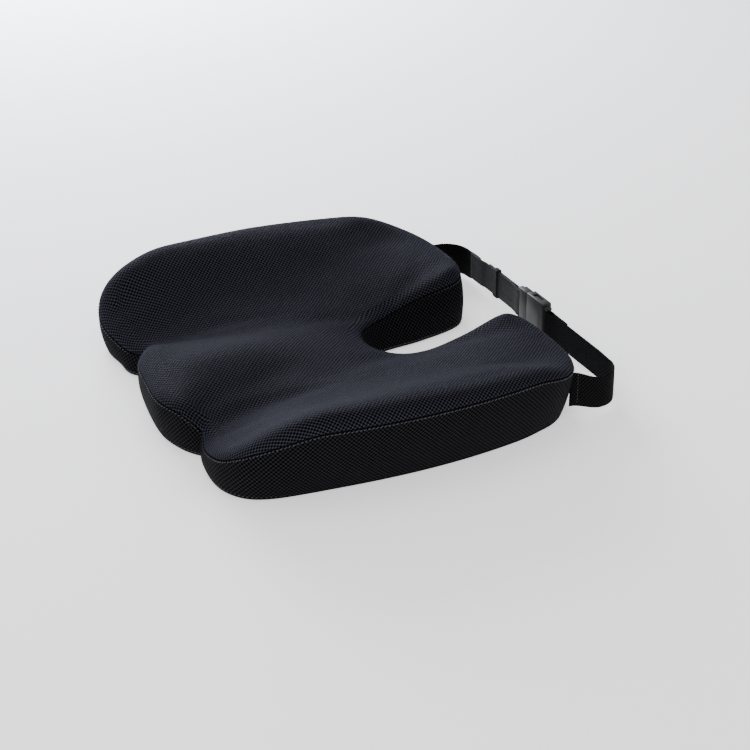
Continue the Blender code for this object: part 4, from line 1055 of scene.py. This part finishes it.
def build_keeper():
    """Elastic loop round both strap layers."""
    keeper_low, keeper_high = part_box("strap_keeper")
    centre = 0.5 * (keeper_low + keeper_high)
    size = 0.5 * (keeper_high - keeper_low)
    radius = 0.0016
    profile = []
    for corner, (sy, sz) in enumerate(((1, 1), (-1, 1), (-1, -1), (1, -1))):
        for k in range(6):
            a = math.radians(90.0 * corner + 90.0 * k / 5)
            profile.append((sy * (size.y - radius) + radius * math.cos(a),
                            sz * (size.z - radius) + radius * math.sin(a)))
    profile = np.array(profile)
    inner = profile * (1.0 - 0.0010 / size.y, 1.0 - 0.0010 / size.z)
    n = len(profile)
    verts = []
    uvs = []
    lengths = np.concatenate([[0.0], np.cumsum(np.linalg.norm(np.diff(profile, axis=0), axis=1))])
    rows = [(-1.0, 0.9), (-0.9, 1.0), (-0.5, 0.985), (0.0, 1.0), (0.5, 0.985), (0.9, 1.0), (1.0, 0.9)]
    for share, swell in rows:
        for (y, z), place in zip(profile, lengths):
            verts.append((centre.x + share * size.x, centre.y + y * swell,
                          centre.z + z * (1.0 - 0.1 * (1.0 - swell))))
            uvs.append((place, share * size.x))
    for share, _ in reversed(rows):
        for (y, z), place in zip(inner, lengths):
            verts.append((centre.x + share * size.x, centre.y + y, centre.z + z))
            uvs.append((place, share * size.x))
    faces = []
    layers = 2 * len(rows)
    for r in range(layers):
        s = (r + 1) % layers
        faces += [(n * r + c, n * r + (c + 1) % n, n * s + (c + 1) % n, n * s + c) for c in range(n)]
    return piece("strap_keeper_loop", verts, faces, KEEPER, uvs)


# rides with the cushion, as its CAD node does
placed(build_keeper(), "cushion", ("strap_keeper",))


# sewing on the straps: two rows at each root and the boxed seams that join the layers
for tag, sign in (("right", 1.0), ("left", -1.0)):
    x = sign * (STRAP_ROOT[0] + 0.0013)
    z = np.linspace(STRAP_ROOT_Z - 0.0160, STRAP_ROOT_Z + 0.0160, 12)
    for number, y in enumerate((STRAP_ROOT[1] + 0.0060, STRAP_ROOT[1] + 0.0085)):
        path = np.column_stack([np.full(12, x), np.full(12, y), z])
        out = np.tile((sign, 0.0, 0.0), (12, 1))
        stitched("strap_root_%s_%d" % (tag, number), path, out, 0.0030, 0.0024, 0.00028)
for tag, (low, high), y in (("right", (0.0520, 0.0580), STRAP_REAR_Y + STRAP_LAYER + 0.0008),
                            ("left", (-0.1320, -0.1210), STRAP_REAR_Y + 0.0008)):
    corners = [(low, -0.0125), (high, -0.0125), (high, 0.0125), (low, 0.0125), (low, -0.0125),
               (high, 0.0125), (high, -0.0125), (low, 0.0125)]
    path = np.array([(x, y, STRAP_Z + z) for x, z in corners])
    stitched("strap_box_" + tag, path, np.tile((0.0, 1.0, 0.0), (len(path), 1)), 0.0026, 0.0021, 0.00026)

RIB_FIRST_X = 0.0165
RIB_PITCH = 0.0024
RIB_OUT = 0.0053              # distance of a rib's axis from the strap's middle
RIB_RADIUS = 0.0006
RIB_HALF = 0.0110


def build_ribs():
    """Raised finger ribs moulded on the socket's broad faces."""
    verts = []
    faces = []
    rows = 9
    sides = 6
    for face_sign in (1.0, -1.0):
        for k in range(3):
            faces += tube(len(verts), rows, sides, face_sign < 0)
            for r in range(rows):
                climb = math.radians(-90.0 + 180.0 * r / (rows - 1))
                radius = RIB_RADIUS * (math.cos(climb) ** 0.4 if 0 < r < rows - 1 else 0.05)
                for c in range(sides):
                    a = math.radians(180.0 * c / (sides - 1))
                    verts.append((RIB_FIRST_X + RIB_PITCH * k + radius * math.cos(a),
                                  STRAP_REAR_Y + face_sign * (RIB_OUT + radius * math.sin(a)),
                                  STRAP_Z + RIB_HALF * math.sin(climb)))
    return piece("socket_ribs", verts, faces, PLASTIC)


placed(build_ribs(), "cushion")


# ---- stage, light and camera
def floor_material():
    made, tree, shader = new_material("floor")
    for name, value in (("Base Color", (0.95, 0.95, 0.955, 1.0)), ("Roughness", 0.75),
                        ("Specular IOR Level", 0.2), ("Emission Color", (1.0, 1.0, 1.0, 1.0)),
                        ("Emission Strength", 0.72)):
        shader.inputs[name].default_value = value
    return made


FLOOR_Z = -0.0003
floor = piece("floor", [(x, y, FLOOR_Z) for x, y in ((-8, -8), (8, -8), (8, 8), (-8, 8))], [(0, 1, 2, 3)],
              floor_material(), smooth=False)

world = bpy.data.worlds.new("studio")
bpy.context.scene.world = world
world.use_nodes = True
background = world.node_tree.nodes["Background"]
background.inputs["Color"].default_value = (1.0, 1.0, 1.0, 1.0)
background.inputs["Strength"].default_value = 0.66


def area_light(name, place, aim, size, power, colour=(1.0, 1.0, 1.0)):
    lamp = bpy.data.lights.new(name, "AREA")
    lamp.shape = "RECTANGLE"
    lamp.size = size[0]
    lamp.size_y = size[1]
    lamp.energy = power
    lamp.color = colour
    made = bpy.data.objects.new(name, lamp)
    bpy.context.scene.collection.objects.link(made)
    made.location = place
    made.rotation_euler = (Vector(aim) - Vector(place)).to_track_quat("-Z", "Y").to_euler()


area_light("light_left", (-1.85, 0.10, 0.66), (0.0, 0.0, 0.05), (1.3, 0.8), 80.0, (0.86, 0.89, 1.0))
area_light("light_top", (-0.3, -0.2, 2.0), (0.0, 0.0, 0.0), (1.6, 1.6), 7.0)
area_light("light_front", (1.5, -1.5, 0.55), (0.0, 0.0, 0.03), (1.2, 0.8), 18.0)

# the photograph's view
CAMERA_AZIMUTH = math.radians(64.75)
CAMERA_ELEVATION = math.radians(27.91)
CAMERA_ROLL = math.radians(-0.41)
CAMERA_PLACE = (1.5004, -0.6477, 0.8715)
CAMERA_LENS = 89.49

back = Vector((math.sin(CAMERA_AZIMUTH) * math.cos(CAMERA_ELEVATION),
               -math.cos(CAMERA_AZIMUTH) * math.cos(CAMERA_ELEVATION), math.sin(CAMERA_ELEVATION)))
level = Vector((math.cos(CAMERA_AZIMUTH), math.sin(CAMERA_AZIMUTH), 0.0))
upright = back.cross(level)
across = level * math.cos(CAMERA_ROLL) + upright * math.sin(CAMERA_ROLL)
up = upright * math.cos(CAMERA_ROLL) - level * math.sin(CAMERA_ROLL)
lens = bpy.data.cameras.new("photo_camera")
lens.lens = CAMERA_LENS
lens.sensor_width = 36.0
lens.clip_end = 60.0
camera = bpy.data.objects.new("photo_camera", lens)
bpy.context.scene.collection.objects.link(camera)
camera.matrix_world = Matrix.Translation(CAMERA_PLACE) @ Matrix((across, up, back)).transposed().to_4x4()
bpy.context.scene.camera = camera
